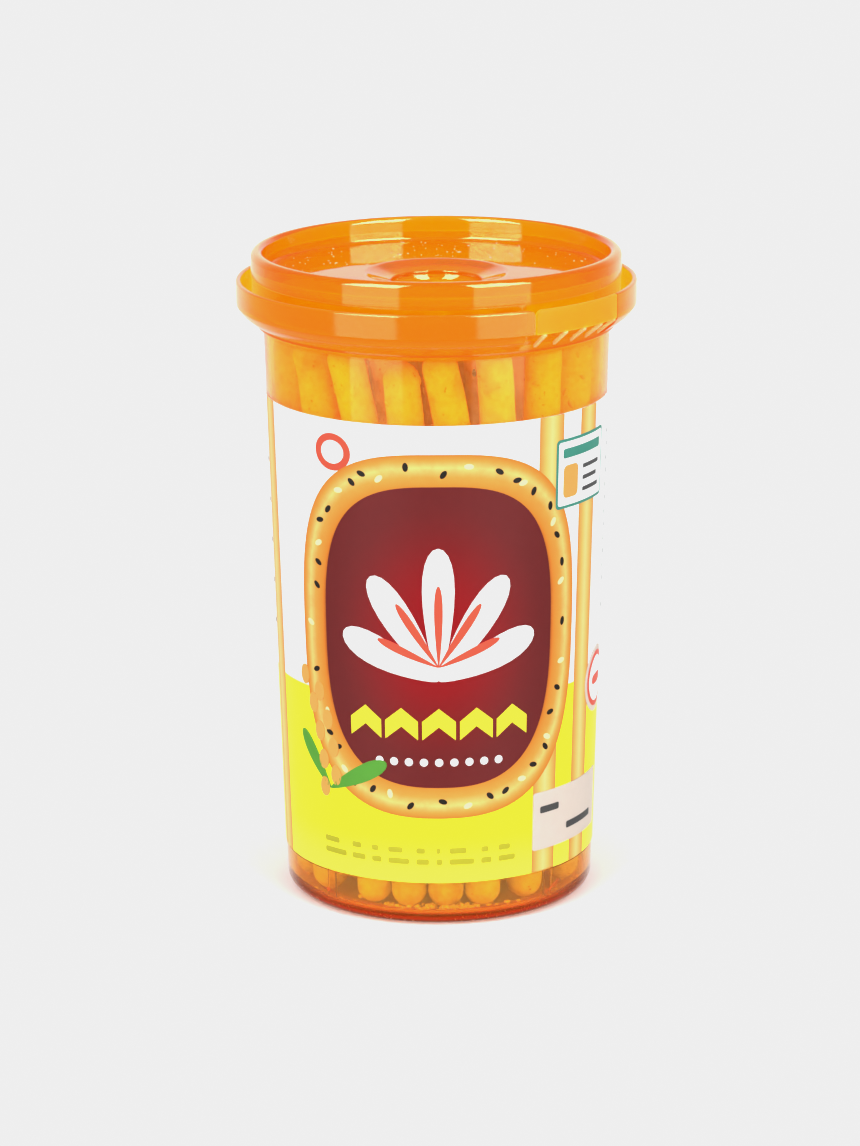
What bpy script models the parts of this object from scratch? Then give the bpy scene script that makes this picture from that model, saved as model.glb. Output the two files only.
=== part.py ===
"""A shut tub of sesame sticks: tapered see-through tub, tear-off ring, snap lid, wrap label and sticks.

Lengths are in metres, written in millimetres times MM. The tub stands on Z = 0 with its axis on Z.
Its front faces -Y, and angles round it are counted from the front towards +X.
"""

import math
import random

import bmesh
import bpy
from mathutils import Matrix, Vector

MM = 0.001
CLEARANCE = 0.3 * MM
MERGE = 0.00001
TURN_STEPS = 60

# Tub wall
FOOT_WALL_RADIUS = 34.6 * MM
SHOULDER_WALL_RADIUS = 38.45 * MM
SHOULDER_HEIGHT = 129.2 * MM
WALL = 1.1 * MM
HEEL_RADIUS = 3.5 * MM
INNER_HEEL_RADIUS = 2.4 * MM
FOOT_RING_WIDTH = 2.5 * MM
BASE_RECESS = 1.0 * MM
BASE_THICKNESS = 1.2 * MM

# Anti-jam ribs low inside the wall
RIB_WIDTH = 2.4 * MM
RIB_DEPTH = 0.45 * MM
RIB_FOOT = 3.3 * MM
RIB_TOP = 10.0 * MM
RIB_COUNT = 4

# Neck that the lid snaps over
NECK_INNER_RADIUS = 39.2 * MM
NECK_WALL = 0.7 * MM
NECK_FOOT = 131.7 * MM
NECK_TOP = 142.7 * MM

# Ring round the lid's skirt, with its sloping floor and the small ledge below it
RING_RADIUS = 44.4 * MM
RING_WALL = 1.1 * MM
RING_TOP = 140.1 * MM
RING_FOOT = 134.9 * MM
RING_UNDERSIDE = ((0.25 * MM, 0.6 * MM), (1.1 * MM, 1.8 * MM), (3.05 * MM, 3.4 * MM))
LEDGE_RADIUS = 40.0 * MM
LEDGE_TOP = 130.7 * MM
LEDGE_EDGE = 0.4 * MM
GUTTER_FLOOR = 132.9 * MM
GUTTER_CORNER = 0.8 * MM
GUTTER_SLOPE = 0.5 * MM

# Tear tab in the ring, and the radial bridges that hold it
TAB_START = 28.65
TAB_END = 61.9
TAB_FOOT = 134.7 * MM
SLIT_WIDTH = 0.5 * MM
END_SLIT_WIDTH = 0.3 * MM
TAB_CORNER = 1.5 * MM
BRIDGE_FIRST = 31.5
BRIDGE_SPACING = 7.3
BRIDGE_COUNT = 5
BRIDGE_WIDTH = 0.9
WINDOW_START = 25.5
WINDOW_END = 62.4
WINDOW_INNER_RADIUS = 40.2 * MM

# Lid
LID_TOP = 146.5 * MM
LID_RADIUS = 41.05 * MM
LID_MOUTH_RADIUS = 38.3 * MM
INNER_EDGE_ROUND = 1.2 * MM
OUTER_EDGE_ROUND = 1.4 * MM
BEAD_FOOT = 141.2 * MM
BEAD_STEP = 0.3 * MM
SKIRT_RADIUS = 40.85 * MM
SKIRT_FOOT = 134.2 * MM
PLUG_RADIUS = NECK_INNER_RADIUS - CLEARANCE
PANEL_HEIGHT = 141.1 * MM
PANEL_FILLET = 0.9 * MM
PANEL_THICKNESS = 0.9 * MM
DISH_RADIUS = 15.7 * MM
DISH_DEPTH = 1.6 * MM
DIMPLE_RADIUS = 10.4 * MM
DIMPLE_EDGE = 0.4 * MM
DIMPLE_FLOOR = 136.6 * MM
DIMPLE_FILLET = 2.4 * MM

# Wrap label in its shallow recess
LABEL_FOOT = 10.4 * MM
LABEL_TOP = 114.8 * MM
LABEL_THICKNESS = 0.2 * MM
LABEL_PROUD = 0.15 * MM
RECESS_DEPTH = LABEL_THICKNESS - LABEL_PROUD + CLEARANCE

# Sticks
STICK_RADIUS = 3.95 * MM
STICK_FOOT = 3.1 * MM
WALL_GAP = 0.8 * MM
CURL_START = 95.0 * MM
CURL_END = 128.0 * MM
RANDOM_SEED = 12

# Front sticks: angle at the foot, drift up the tub, curl at the tip, all in degrees, then the tip's height
FRONT_STICKS = (
    (-57.0, 12.0, -12.0, 131.0 * MM),
    (-29.5, 2.0, -10.0, 131.5 * MM),
    (-13.5, 3.0, -4.0, 127.7 * MM),
    (2.5, 7.0, -9.0, 130.5 * MM),
    (18.5, 8.0, -4.5, 131.5 * MM),
    (40.0, 5.0, 0.0, 132.0 * MM),
    (70.0, -8.0, 4.0, 130.5 * MM),
)
BACK_STICK_COUNT = 11
BACK_START = 90.5
BACK_END = 282.0

# Inner rings of sticks: how many, and how far out, as a share of the outer ring's radius
INNER_RINGS = ((13, 0.705), (7, 0.41), (1, 0.0))
TIP_RANGE = (127.5 * MM, 132.3 * MM)
CORE_SHARE = 0.93
CORE_FOOT = 7.5 * MM
CORE_TOP = 117.0 * MM


def wall_radius(height):
    """Outer radius of the plain tapered wall at a height."""
    slope = (SHOULDER_WALL_RADIUS - FOOT_WALL_RADIUS) / SHOULDER_HEIGHT
    return FOOT_WALL_RADIUS + slope * height


def around(angle, radius, height):
    """Point at an angle in degrees from the front, towards +X."""
    turn = math.radians(angle)
    return Vector((radius * math.sin(turn), -radius * math.cos(turn), height))


def arc(centre, radius, start, end, steps):
    """Points of a round stretch in a profile, angles in degrees from +X towards +Z."""
    points = []
    for step in range(steps + 1):
        turn = math.radians(start + (end - start) * step / steps)
        points.append((centre[0] + radius * math.cos(turn), centre[1] + radius * math.sin(turn)))
    return points


def make_material(name, colour, roughness, transmission=0.0):
    """Principled material of one colour."""
    material = bpy.data.materials.new(name)
    material.use_nodes = True
    shader = material.node_tree.nodes["Principled BSDF"]
    shader.inputs["Base Color"].default_value = (*colour, 1.0)
    shader.inputs["Roughness"].default_value = roughness
    shader.inputs["Metallic"].default_value = 0.0
    shader.inputs["Transmission Weight"].default_value = transmission
    material.diffuse_color = (*colour, 1.0)
    return material


def make_collection(name):
    """New collection in the scene."""
    collection = bpy.data.collections.new(name)
    bpy.context.scene.collection.children.link(collection)
    return collection


def turned_part(name, profile, closed, collection, material):
    """Solid of revolution: a profile with a Screw modifier round Z."""
    count = len(profile)
    edges = [(index, index + 1) for index in range(count - 1)]
    if closed:
        edges.append((count - 1, 0))
    mesh = bpy.data.meshes.new(name)
    mesh.from_pydata([(radius, 0.0, height) for radius, height in profile], edges, [])
    mesh.materials.append(material)
    part = bpy.data.objects.new(name, mesh)
    collection.objects.link(part)
    screw = part.modifiers.new("turn", "SCREW")
    screw.axis = "Z"
    screw.angle = math.radians(360.0)
    screw.steps = TURN_STEPS
    screw.render_steps = TURN_STEPS
    screw.use_merge_vertices = True
    screw.merge_threshold = MERGE
    screw.use_smooth_shade = True
    return part


def add_cutter(name, mesh, collection):
    """Object that only cuts or joins, hidden in renders."""
    cutter = bpy.data.objects.new(name, mesh)
    cutter.display_type = "WIRE"
    cutter.hide_render = True
    collection.objects.link(cutter)
    return cutter


def add_boolean(part, cutter, operation):
    """Boolean modifier with the exact solver."""
    boolean = part.modifiers.new(cutter.name, "BOOLEAN")
    boolean.operation = operation
    boolean.solver = "EXACT"
    boolean.object = cutter


def add_arc_block(shape, angles, heights, radii):
    """Block bent round the tub's axis, added to a mesh under construction."""
    cuts = max(1, int(abs(angles[1] - angles[0]) / 2.5))
    block = bmesh.new()
    bmesh.ops.create_cube(block, size=1.0)
    lengthwise = [edge for edge in block.edges if abs(edge.verts[0].co.x - edge.verts[1].co.x) > 0.5]
    bmesh.ops.subdivide_edges(block, edges=lengthwise, cuts=cuts, use_grid_fill=True)
    for vertex in block.verts:
        share = vertex.co + Vector((0.5, 0.5, 0.5))
        angle = angles[0] + (angles[1] - angles[0]) * share.x
        radius = radii[1] + (radii[0] - radii[1]) * share.y
        height = heights[0] + (heights[1] - heights[0]) * share.z
        vertex.co = around(angle, radius, height)
    bent = bpy.data.meshes.new("arc_block")
    block.to_mesh(bent)
    block.free()
    shape.from_mesh(bent)
    bpy.data.meshes.remove(bent)


def finish_mesh(name, shape):
    """Mesh from a bmesh whose faces are turned outwards."""
    bmesh.ops.recalc_face_normals(shape, faces=shape.faces)
    mesh = bpy.data.meshes.new(name)
    shape.to_mesh(mesh)
    shape.free()
    return mesh


def tub_profile():
    """Half section of the tub: inside from the axis up to the neck, over the ring and down the outside."""
    floor = BASE_RECESS + BASE_THICKNESS
    inner_heel = (wall_radius(floor) - WALL - INNER_HEEL_RADIUS, floor + INNER_HEEL_RADIUS)
    inside = [(0.0, floor)]
    inside += arc(inner_heel, INNER_HEEL_RADIUS, -90.0, 0.0, 3)
    inside.append((wall_radius(SHOULDER_HEIGHT) - WALL, SHOULDER_HEIGHT))
    inside.append((NECK_INNER_RADIUS, NECK_FOOT))

    lip = NECK_WALL / 3.0
    neck_outer = NECK_INNER_RADIUS + NECK_WALL
    neck = [
        (NECK_INNER_RADIUS, NECK_TOP - lip),
        (NECK_INNER_RADIUS + lip, NECK_TOP),
        (neck_outer - lip, NECK_TOP),
        (neck_outer, NECK_TOP - lip),
        (neck_outer, GUTTER_FLOOR),
    ]

    ring_inner = RING_RADIUS - RING_WALL
    edge = RING_WALL / 3.0
    gutter = [
        (neck_outer + GUTTER_CORNER, GUTTER_FLOOR - GUTTER_SLOPE),
        (ring_inner - GUTTER_CORNER, GUTTER_FLOOR + GUTTER_SLOPE),
        (ring_inner, RING_FOOT + GUTTER_SLOPE),
    ]
    ring = [
        (ring_inner, RING_TOP - edge),
        (ring_inner + edge, RING_TOP),
        (RING_RADIUS - edge, RING_TOP),
        (RING_RADIUS, RING_TOP - edge),
        (RING_RADIUS, RING_FOOT),
    ]
    ring += [(RING_RADIUS - inwards, RING_FOOT - down) for inwards, down in RING_UNDERSIDE]
    ledge = [
        (LEDGE_RADIUS, LEDGE_TOP),
        (LEDGE_RADIUS, LEDGE_TOP - LEDGE_EDGE),
        (LEDGE_RADIUS - LEDGE_EDGE / 2.0, LEDGE_TOP - LEDGE_EDGE * 1.5),
        (wall_radius(SHOULDER_HEIGHT), SHOULDER_HEIGHT),
    ]

    recess_top = LABEL_TOP + CLEARANCE
    recess_foot = LABEL_FOOT - CLEARANCE
    recess = [
        (wall_radius(recess_top), recess_top + RECESS_DEPTH),
        (wall_radius(recess_top) - RECESS_DEPTH, recess_top),
        (wall_radius(recess_foot) - RECESS_DEPTH, recess_foot),
        (wall_radius(recess_foot), recess_foot - RECESS_DEPTH),
    ]

    heel = (wall_radius(HEEL_RADIUS) - HEEL_RADIUS, HEEL_RADIUS)
    foot_inner = heel[0] - FOOT_RING_WIDTH
    foot = arc(heel, HEEL_RADIUS, 0.0, -90.0, 4)
    foot += [(foot_inner, 0.0), (foot_inner - BASE_RECESS, BASE_RECESS), (0.0, BASE_RECESS)]
    return inside + neck + gutter + ring + ledge + recess + foot


def lid_profile():
    """Half section of the lid: dimple, dish and panel, up the well, over the bead and back below."""
    lip = PANEL_HEIGHT - DISH_DEPTH
    dimple_wall = DIMPLE_RADIUS - DIMPLE_EDGE
    well = [(0.0, DIMPLE_FLOOR)]
    well += arc((dimple_wall - DIMPLE_FILLET, DIMPLE_FLOOR + DIMPLE_FILLET), DIMPLE_FILLET, -90.0, 0.0, 4)
    well += [
        (dimple_wall, lip - DIMPLE_EDGE),
        (DIMPLE_RADIUS, lip),
        (DISH_RADIUS, PANEL_HEIGHT),
    ]
    well += arc((LID_MOUTH_RADIUS - PANEL_FILLET, PANEL_HEIGHT + PANEL_FILLET), PANEL_FILLET, -90.0, 0.0, 3)

    inner_round = (LID_MOUTH_RADIUS + INNER_EDGE_ROUND, LID_TOP - INNER_EDGE_ROUND)
    outer_round = (LID_RADIUS - OUTER_EDGE_ROUND, LID_TOP - OUTER_EDGE_ROUND)
    bead = arc(inner_round, INNER_EDGE_ROUND, 180.0, 90.0, 3)
    bead += arc(outer_round, OUTER_EDGE_ROUND, 90.0, 0.0, 3)
    skirt_inner = NECK_INNER_RADIUS + NECK_WALL + CLEARANCE
    skirt = [
        (LID_RADIUS, BEAD_FOOT),
        (SKIRT_RADIUS, BEAD_FOOT - BEAD_STEP),
        (SKIRT_RADIUS, SKIRT_FOOT),
        (skirt_inner, SKIRT_FOOT),
        (skirt_inner, NECK_TOP + CLEARANCE),
        (PLUG_RADIUS, NECK_TOP + CLEARANCE),
    ]
    under = PANEL_HEIGHT - PANEL_THICKNESS
    under_dimple = DIMPLE_FLOOR - PANEL_THICKNESS
    bottom = [
        (PLUG_RADIUS, under),
        (DISH_RADIUS, under),
        (DIMPLE_RADIUS + PANEL_THICKNESS, lip - PANEL_THICKNESS),
        (dimple_wall + PANEL_THICKNESS, DIMPLE_FLOOR + DIMPLE_FILLET / 2.0),
        (dimple_wall - PANEL_THICKNESS, under_dimple),
        (0.0, under_dimple),
    ]
    return well + bead + skirt + bottom


def label_profile():
    """Closed section of the thin wrap label."""
    outside = [(wall_radius(height) + LABEL_PROUD, height) for height in (LABEL_TOP, LABEL_FOOT)]
    inside = [(radius - LABEL_THICKNESS, height) for radius, height in reversed(outside)]
    return outside + inside


def ring_slit(name, angle, width, corner, collection):
    """Cutter for one end of the tear tab: a slit through the ring, with rounded shoulders at its mouth."""
    half = width / 2.0
    mouth = RING_TOP + 1.0 * MM
    foot = TAB_FOOT - 0.6 * MM
    right = [(half, foot)]
    if corner > 0.0:
        centre = (half + corner, RING_TOP - corner)
        right += arc(centre, corner, 180.0, 90.0, 4)
        right.append((half + corner, mouth))
    else:
        right.append((half, mouth))
    outline = right + [(-x, z) for x, z in reversed(right)]
    curve = bpy.data.curves.new(name, "CURVE")
    curve.dimensions = "2D"
    curve.fill_mode = "BOTH"
    curve.extrude = 2.5 * RING_WALL
    spline = curve.splines.new("POLY")
    spline.points.add(len(outline) - 1)
    for point, (x, z) in zip(spline.points, outline):
        point.co = (x, z, 0.0, 1.0)
    spline.use_cyclic_u = True
    flat = bpy.data.objects.new(name + "_outline", curve)
    bpy.context.scene.collection.objects.link(flat)
    upright = Matrix.Rotation(math.radians(90.0), 4, "X")
    place = Matrix.Translation(around(angle, RING_RADIUS, 0.0)) @ Matrix.Rotation(math.radians(angle), 4, "Z")
    flat.matrix_world = place @ upright
    bpy.context.view_layer.update()
    evaluated = flat.evaluated_get(bpy.context.evaluated_depsgraph_get())
    mesh = bpy.data.meshes.new_from_object(evaluated)
    mesh.name = name
    mesh.transform(flat.matrix_world)
    shape = bmesh.new()
    shape.from_mesh(mesh)
    bmesh.ops.remove_doubles(shape, verts=shape.verts, dist=MERGE)
    bmesh.ops.recalc_face_normals(shape, faces=shape.faces)
    shape.to_mesh(mesh)
    shape.free()
    bpy.data.objects.remove(flat)
    return add_cutter(name, mesh, collection)


def tab_windows(collection):
    """Cutter for the openings below the tear tab, which leaves the radial bridges between them."""
    edges = [WINDOW_START]
    for bridge in range(BRIDGE_COUNT):
        middle = BRIDGE_FIRST + bridge * BRIDGE_SPACING
        edges += [middle - BRIDGE_WIDTH / 2.0, middle + BRIDGE_WIDTH / 2.0]
    edges.append(WINDOW_END)
    heights = (LEDGE_TOP - 0.5 * MM, TAB_FOOT)
    radii = (WINDOW_INNER_RADIUS, RING_RADIUS + 1.0 * MM)
    shape = bmesh.new()
    for start, end in zip(edges[0::2], edges[1::2]):
        add_arc_block(shape, (start, end), heights, radii)
    return add_cutter("tab_windows", finish_mesh("tab_windows", shape), collection)


def inner_ribs(collection):
    """Short upright ribs low inside the wall, sunk into it so that they join it."""
    shape = bmesh.new()
    half = math.degrees(RIB_WIDTH / FOOT_WALL_RADIUS) / 2.0
    inner = wall_radius(RIB_TOP / 2.0) - WALL - RIB_DEPTH
    for rib in range(RIB_COUNT):
        middle = (rib + 0.5) * 360.0 / RIB_COUNT
        angles = (middle - half, middle + half)
        add_arc_block(shape, angles, (RIB_FOOT, RIB_TOP), (inner, inner + RIB_DEPTH + WALL / 2.0))
    return add_cutter("inner_ribs", finish_mesh("inner_ribs", shape), collection)


def make_tub(collection, cutters, material):
    """The tub with its neck, ring, ledge, tear tab and inner ribs, all one moulding."""
    tub = turned_part("tub", tub_profile(), False, collection, material)
    add_boolean(tub, inner_ribs(cutters), "UNION")
    add_boolean(tub, tab_windows(cutters), "DIFFERENCE")
    add_boolean(tub, ring_slit("tab_start_slit", TAB_START, SLIT_WIDTH, TAB_CORNER, cutters), "DIFFERENCE")
    add_boolean(tub, ring_slit("tab_end_slit", TAB_END, END_SLIT_WIDTH, 0.0, cutters), "DIFFERENCE")
    weld = tub.modifiers.new("weld", "WELD")
    weld.merge_threshold = MERGE
    return tub


def outer_stick_ring(height):
    """Radius at which the centres of the outermost sticks stand at a height, just inside the wall."""
    return wall_radius(height) - WALL - WALL_GAP - STICK_RADIUS


def stick_centre(stick, height):
    """Centre line of a stick: it follows the wall's taper, drifts round the tub and curls near its tip."""
    foot_angle, drift, curl, tip, share = stick
    rise = (height - STICK_FOOT) / (tip - STICK_FOOT)
    bend = max(0.0, (height - CURL_START) / (CURL_END - CURL_START))
    angle = foot_angle + drift * rise + curl * bend * bend
    return around(angle, outer_stick_ring(height) * share, height)


def stick_layout():
    """Every stick as (foot angle, drift, curl, tip height, share of the outer ring's radius)."""
    chance = random.Random(RANDOM_SEED)
    layout = [(*stick, 1.0) for stick in FRONT_STICKS]
    for index in range(BACK_STICK_COUNT):
        angle = BACK_START + (BACK_END - BACK_START) * index / (BACK_STICK_COUNT - 1)
        angle += chance.uniform(-1.2, 1.2)
        drift = 3.0 * math.sin(math.radians(3.0 * angle))
        curl = -3.0 + 3.0 * math.cos(math.radians(2.0 * angle))
        layout.append((angle, drift, curl, chance.uniform(*TIP_RANGE), 1.0))
    for count, share in INNER_RINGS:
        for index in range(count):
            angle = 360.0 * index / count + chance.uniform(-3.0, 3.0)
            layout.append((angle, 3.0, -4.0, chance.uniform(*TIP_RANGE), share))
    return layout


def stick_mesh(name, stick, sides):
    """A rounded stick: a sphere whose rings are slid along the stick's centre line."""
    end_rings = 2
    shaft_rings = 4
    rings = 2 * end_rings + shaft_rings + 1
    tip = stick[3]
    shape = bmesh.new()
    bmesh.ops.create_uvsphere(shape, u_segments=sides, v_segments=rings, radius=1.0)
    for vertex in shape.verts:
        ring = round(math.acos(max(-1.0, min(1.0, vertex.co.z))) / math.pi * rings)
        from_end = min(ring, rings - ring)
        if from_end <= end_rings:
            turn = math.radians(90.0 * from_end / (end_rings + 1))
            inset = STICK_RADIUS * (1.0 - math.cos(turn))
            width = STICK_RADIUS * math.sin(turn)
            height = tip - inset if ring <= end_rings else STICK_FOOT + inset
        else:
            down = (ring - end_rings - 1) / (shaft_rings - 1)
            width = STICK_RADIUS
            height = tip - STICK_RADIUS - (tip - STICK_FOOT - 2.0 * STICK_RADIUS) * down * down
        sideways = Vector((vertex.co.x, vertex.co.y, 0.0))
        if sideways.length > MERGE:
            sideways.normalize()
        vertex.co = stick_centre(stick, height) + sideways * width
    return finish_mesh(name, shape)


def make_sticks(collection, cutters, material):
    """The bundle: a core with every stick fused to it, by one union."""
    loose = make_collection("loose_sticks")
    for index, stick in enumerate(stick_layout()):
        sides = 8 if stick[4] == 1.0 else 6
        name = "stick_%02d" % (index + 1)
        loose.objects.link(bpy.data.objects.new(name, stick_mesh(name, stick, sides)))

    shape = bmesh.new()
    bmesh.ops.create_cone(
        shape,
        cap_ends=True,
        segments=20,
        radius1=outer_stick_ring(CORE_FOOT) * CORE_SHARE,
        radius2=outer_stick_ring(CORE_TOP) * CORE_SHARE,
        depth=CORE_TOP - CORE_FOOT,
        matrix=Matrix.Translation((0.0, 0.0, (CORE_TOP + CORE_FOOT) / 2.0)),
    )
    core = bpy.data.objects.new("sticks", finish_mesh("sticks", shape))
    collection.objects.link(core)
    union = core.modifiers.new("union", "BOOLEAN")
    union.operation = "UNION"
    union.operand_type = "COLLECTION"
    union.collection = loose
    union.solver = "EXACT"
    bpy.context.view_layer.update()
    evaluated = core.evaluated_get(bpy.context.evaluated_depsgraph_get())
    fused = bpy.data.meshes.new_from_object(evaluated)
    core.modifiers.clear()
    core.data = fused
    fused.name = "sticks"
    fused.materials.clear()
    fused.materials.append(material)
    for stick in list(loose.objects):
        bpy.data.objects.remove(stick)
    bpy.data.collections.remove(loose)
    return core


def main():
    for old in list(bpy.data.objects):
        bpy.data.objects.remove(old)
    parts = make_collection("sesame_stick_tub")
    cutters = make_collection("tub_cutters")
    amber = make_material("amber_plastic", (0.88, 0.42, 0.03), 0.15, 0.8)
    lid_amber = make_material("lid_plastic", (0.86, 0.38, 0.03), 0.18, 0.7)
    paper = make_material("printed_label", (0.87, 0.80, 0.30), 0.35)
    biscuit = make_material("baked_stick", (0.84, 0.58, 0.24), 0.75)
    make_tub(parts, cutters, amber)
    turned_part("lid", lid_profile(), False, parts, lid_amber)
    turned_part("label", label_profile(), True, parts, paper)
    make_sticks(parts, cutters, biscuit)


main()
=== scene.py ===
"""Looks of a shut tub of sesame sticks, built round its solids: plastic, film, print, sticks and crumbs.

Lengths are in metres, written in millimetres times MM. Angles round the tub are in degrees from its
front, which faces -Y, towards +X.
"""

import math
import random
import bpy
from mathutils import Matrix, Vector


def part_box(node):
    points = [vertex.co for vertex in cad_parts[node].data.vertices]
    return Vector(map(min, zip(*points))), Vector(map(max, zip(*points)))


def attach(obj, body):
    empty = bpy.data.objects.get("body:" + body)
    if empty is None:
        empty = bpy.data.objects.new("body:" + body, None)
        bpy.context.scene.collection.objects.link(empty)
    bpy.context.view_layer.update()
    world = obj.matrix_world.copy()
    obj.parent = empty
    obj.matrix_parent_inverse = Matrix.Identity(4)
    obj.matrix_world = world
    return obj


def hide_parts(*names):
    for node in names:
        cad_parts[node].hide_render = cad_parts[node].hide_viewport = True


bl_info = {
    "name": "Sesame Stick Tub",
    "version": (1, 0, 0),
    "blender": (4, 5, 0),
    "location": "View3D > Sidebar > Snack Tub",
    "description": "Models a see-through tub of baked sesame sticks with a snap lid and a printed label",
    "category": "Mesh",
}

from collections import namedtuple

import bpy
from bpy.props import FloatProperty, FloatVectorProperty, IntProperty, PointerProperty
from bpy.types import Operator, Panel, PropertyGroup
from mathutils import Matrix, Vector

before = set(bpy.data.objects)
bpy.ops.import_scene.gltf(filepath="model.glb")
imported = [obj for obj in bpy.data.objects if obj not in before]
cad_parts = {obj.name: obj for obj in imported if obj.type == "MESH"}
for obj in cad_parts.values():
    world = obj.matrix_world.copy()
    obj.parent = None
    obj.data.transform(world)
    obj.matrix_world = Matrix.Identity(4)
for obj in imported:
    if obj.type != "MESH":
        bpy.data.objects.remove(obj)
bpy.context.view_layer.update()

MM = 0.001
MERGE = 0.004 * MM
BODY = "root"
CLEARANCE = 0.3 * MM

# Sizes that the solids fix
RING_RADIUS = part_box("tub")[1].x
NECK_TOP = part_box("tub")[1].z
LID_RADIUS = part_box("lid")[1].x
LID_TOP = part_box("lid")[1].z
SKIRT_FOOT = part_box("lid")[0].z
LABEL_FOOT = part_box("label")[0].z
LABEL_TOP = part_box("label")[1].z
STICK_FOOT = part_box("sticks")[0].z

# Tub wall and base; a bent block has a facet every so many degrees
BLOCK_STEP = 0.9
SHOULDER_HEIGHT = 129.2 * MM
INNER_HEEL_RADIUS = 2.4 * MM
FOOT_RING_WIDTH = 2.5 * MM
RIB_WIDTH = 2.4 * MM
RIB_DEPTH = 0.45 * MM
RIB_FOOT = 3.3 * MM
RIB_TOP = 10.0 * MM
RIB_COUNT = 4

# Neck, ring and ledge; the ring's underside as steps inwards and down from its outer foot, in millimetres
NECK_INNER_RADIUS = 39.2 * MM
NECK_WALL = 0.7 * MM
NECK_FOOT = 131.7 * MM
RING_TOP = 140.1 * MM
RING_FOOT = 134.9 * MM
RING_UNDERSIDE = ((0.08, 0.35), (0.25, 0.6), (1.1, 1.8), (1.95, 2.5), (3.05, 3.4))
LEDGE_RADIUS = 40.0 * MM
LEDGE_TOP = 130.7 * MM
LEDGE_EDGE = 0.4 * MM
GUTTER_FLOOR = 132.9 * MM
GUTTER_CORNER = 0.8 * MM
GUTTER_SLOPE = 0.5 * MM

# Tear tab and the bridges below it
TAB_FOOT = 134.7 * MM
SLIT_WIDTH = 0.5 * MM
END_SLIT_WIDTH = 0.3 * MM
TAB_CORNER = 1.5 * MM
BRIDGE_FIRST = 31.5
BRIDGE_SPACING = 7.3
BRIDGE_COUNT = 5
BRIDGE_WIDTH = 1.35
BRIDGE_RADII = (39.95 * MM, 44.25 * MM)
BRIDGE_FEET = (130.95 * MM, 134.25 * MM)
BRIDGE_DEPTH = 0.8 * MM
BRIDGE_EDGE = 0.12 * MM
SLIT_FOOT = 134.1 * MM
WINDOW_FOOT = 130.2 * MM
WINDOW_ANGLES = (25.5, 62.4)
WINDOW_INNER_RADIUS = 40.2 * MM

# Lid
LID_MOUTH_RADIUS = 38.3 * MM
INNER_EDGE_ROUND = 1.2 * MM
OUTER_EDGE_ROUND = 1.4 * MM
BEAD_FOOT = 141.2 * MM
BEAD_STEP = 0.3 * MM
SKIRT_RADIUS = 40.85 * MM
PANEL_FILLET = 0.9 * MM
PANEL_THICKNESS = 0.9 * MM
DISH_RADIUS = 15.7 * MM
DISH_ROUND = 0.6 * MM
DISH_EDGE_DROP = 0.048 * MM
DIMPLE_EDGE = 0.4 * MM
DIMPLE_FILLET = 2.4 * MM

# Label film, flat as it comes off the roll: one unit along X is one unit round the tub at mid height
LABEL_PROUD = 0.15 * MM
LABEL_THICKNESS = 0.2 * MM
RECESS_ROOM = 0.06 * MM
LABEL_RADIUS = 36.6 * MM
LABEL_STEPS = 360
OVERLAP_ANGLES = (98.0, 104.0)
OVERLAP_CORNER = 0.3 * MM
OVERLAP_LIFT = 0.1 * MM
WRAP_STEP = 1.2 * MM
INK_STEP = 0.03 * MM
INK_SINK = 0.03 * MM

# Panel of the label print, with its border, its seeds and what is in it
PANEL_CENTRE = 67.0 * MM
PANEL_HALF_WIDTH = 34.0 * MM
PANEL_HALF_HEIGHT = 41.5 * MM
PANEL_POWER = 2.8
PANEL_POINTS = 120
BORDER = 7.2 * MM
PRINTED_SEED = (0.62 * MM, 1.05 * MM)
PRINTED_SEED_COUNT = 44
PRINTED_SEED_SPREAD = 1.2 * MM
PETAL_FOOT = 57.5 * MM
PETAL_WIDTH = 9.4 * MM
HEART_FOOT = 60.5 * MM
HEART_WIDTH = 2.6 * MM
HEART_SHARE = 0.62
PETALS = ((-66.0, 24.0 * MM), (-33.0, 27.5 * MM), (0.0, 30.0 * MM), (33.0, 27.5 * MM), (66.0, 24.0 * MM))
CHEVRON_HEIGHT = 49.5 * MM
CHEVRON_SPACING = 8.4 * MM
CHEVRON_SIZE = (7.4 * MM, 3.0 * MM, 4.2 * MM)
DOT_HEIGHT = 38.6 * MM
DOT_SPACING = 3.4 * MM
DOT_RADIUS = 0.9 * MM

# Sprig, at a distance from the panel's middle and a height, with its leaves as (length, width, lean)
SPRIG_PLACE = (-27.0 * MM, 30.0 * MM)
LEAVES = ((17.0 * MM, 5.4 * MM, 62.0), (15.0 * MM, 4.6 * MM, -38.0))
BEAD_COUNT = 9
BEAD_SPACING = 3.2 * MM
BEAD_SIDE = 1.7 * MM
BEAD_SIZE = (1.5 * MM, 2.3 * MM)

# Stripes, by their middle and half width in degrees
STRIPES = (-139.0, -119.0, -76.0, 41.0, 61.0)
STRIPE_HALF = 5.4
STRIPE_CORNER = 0.2 * MM

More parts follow.
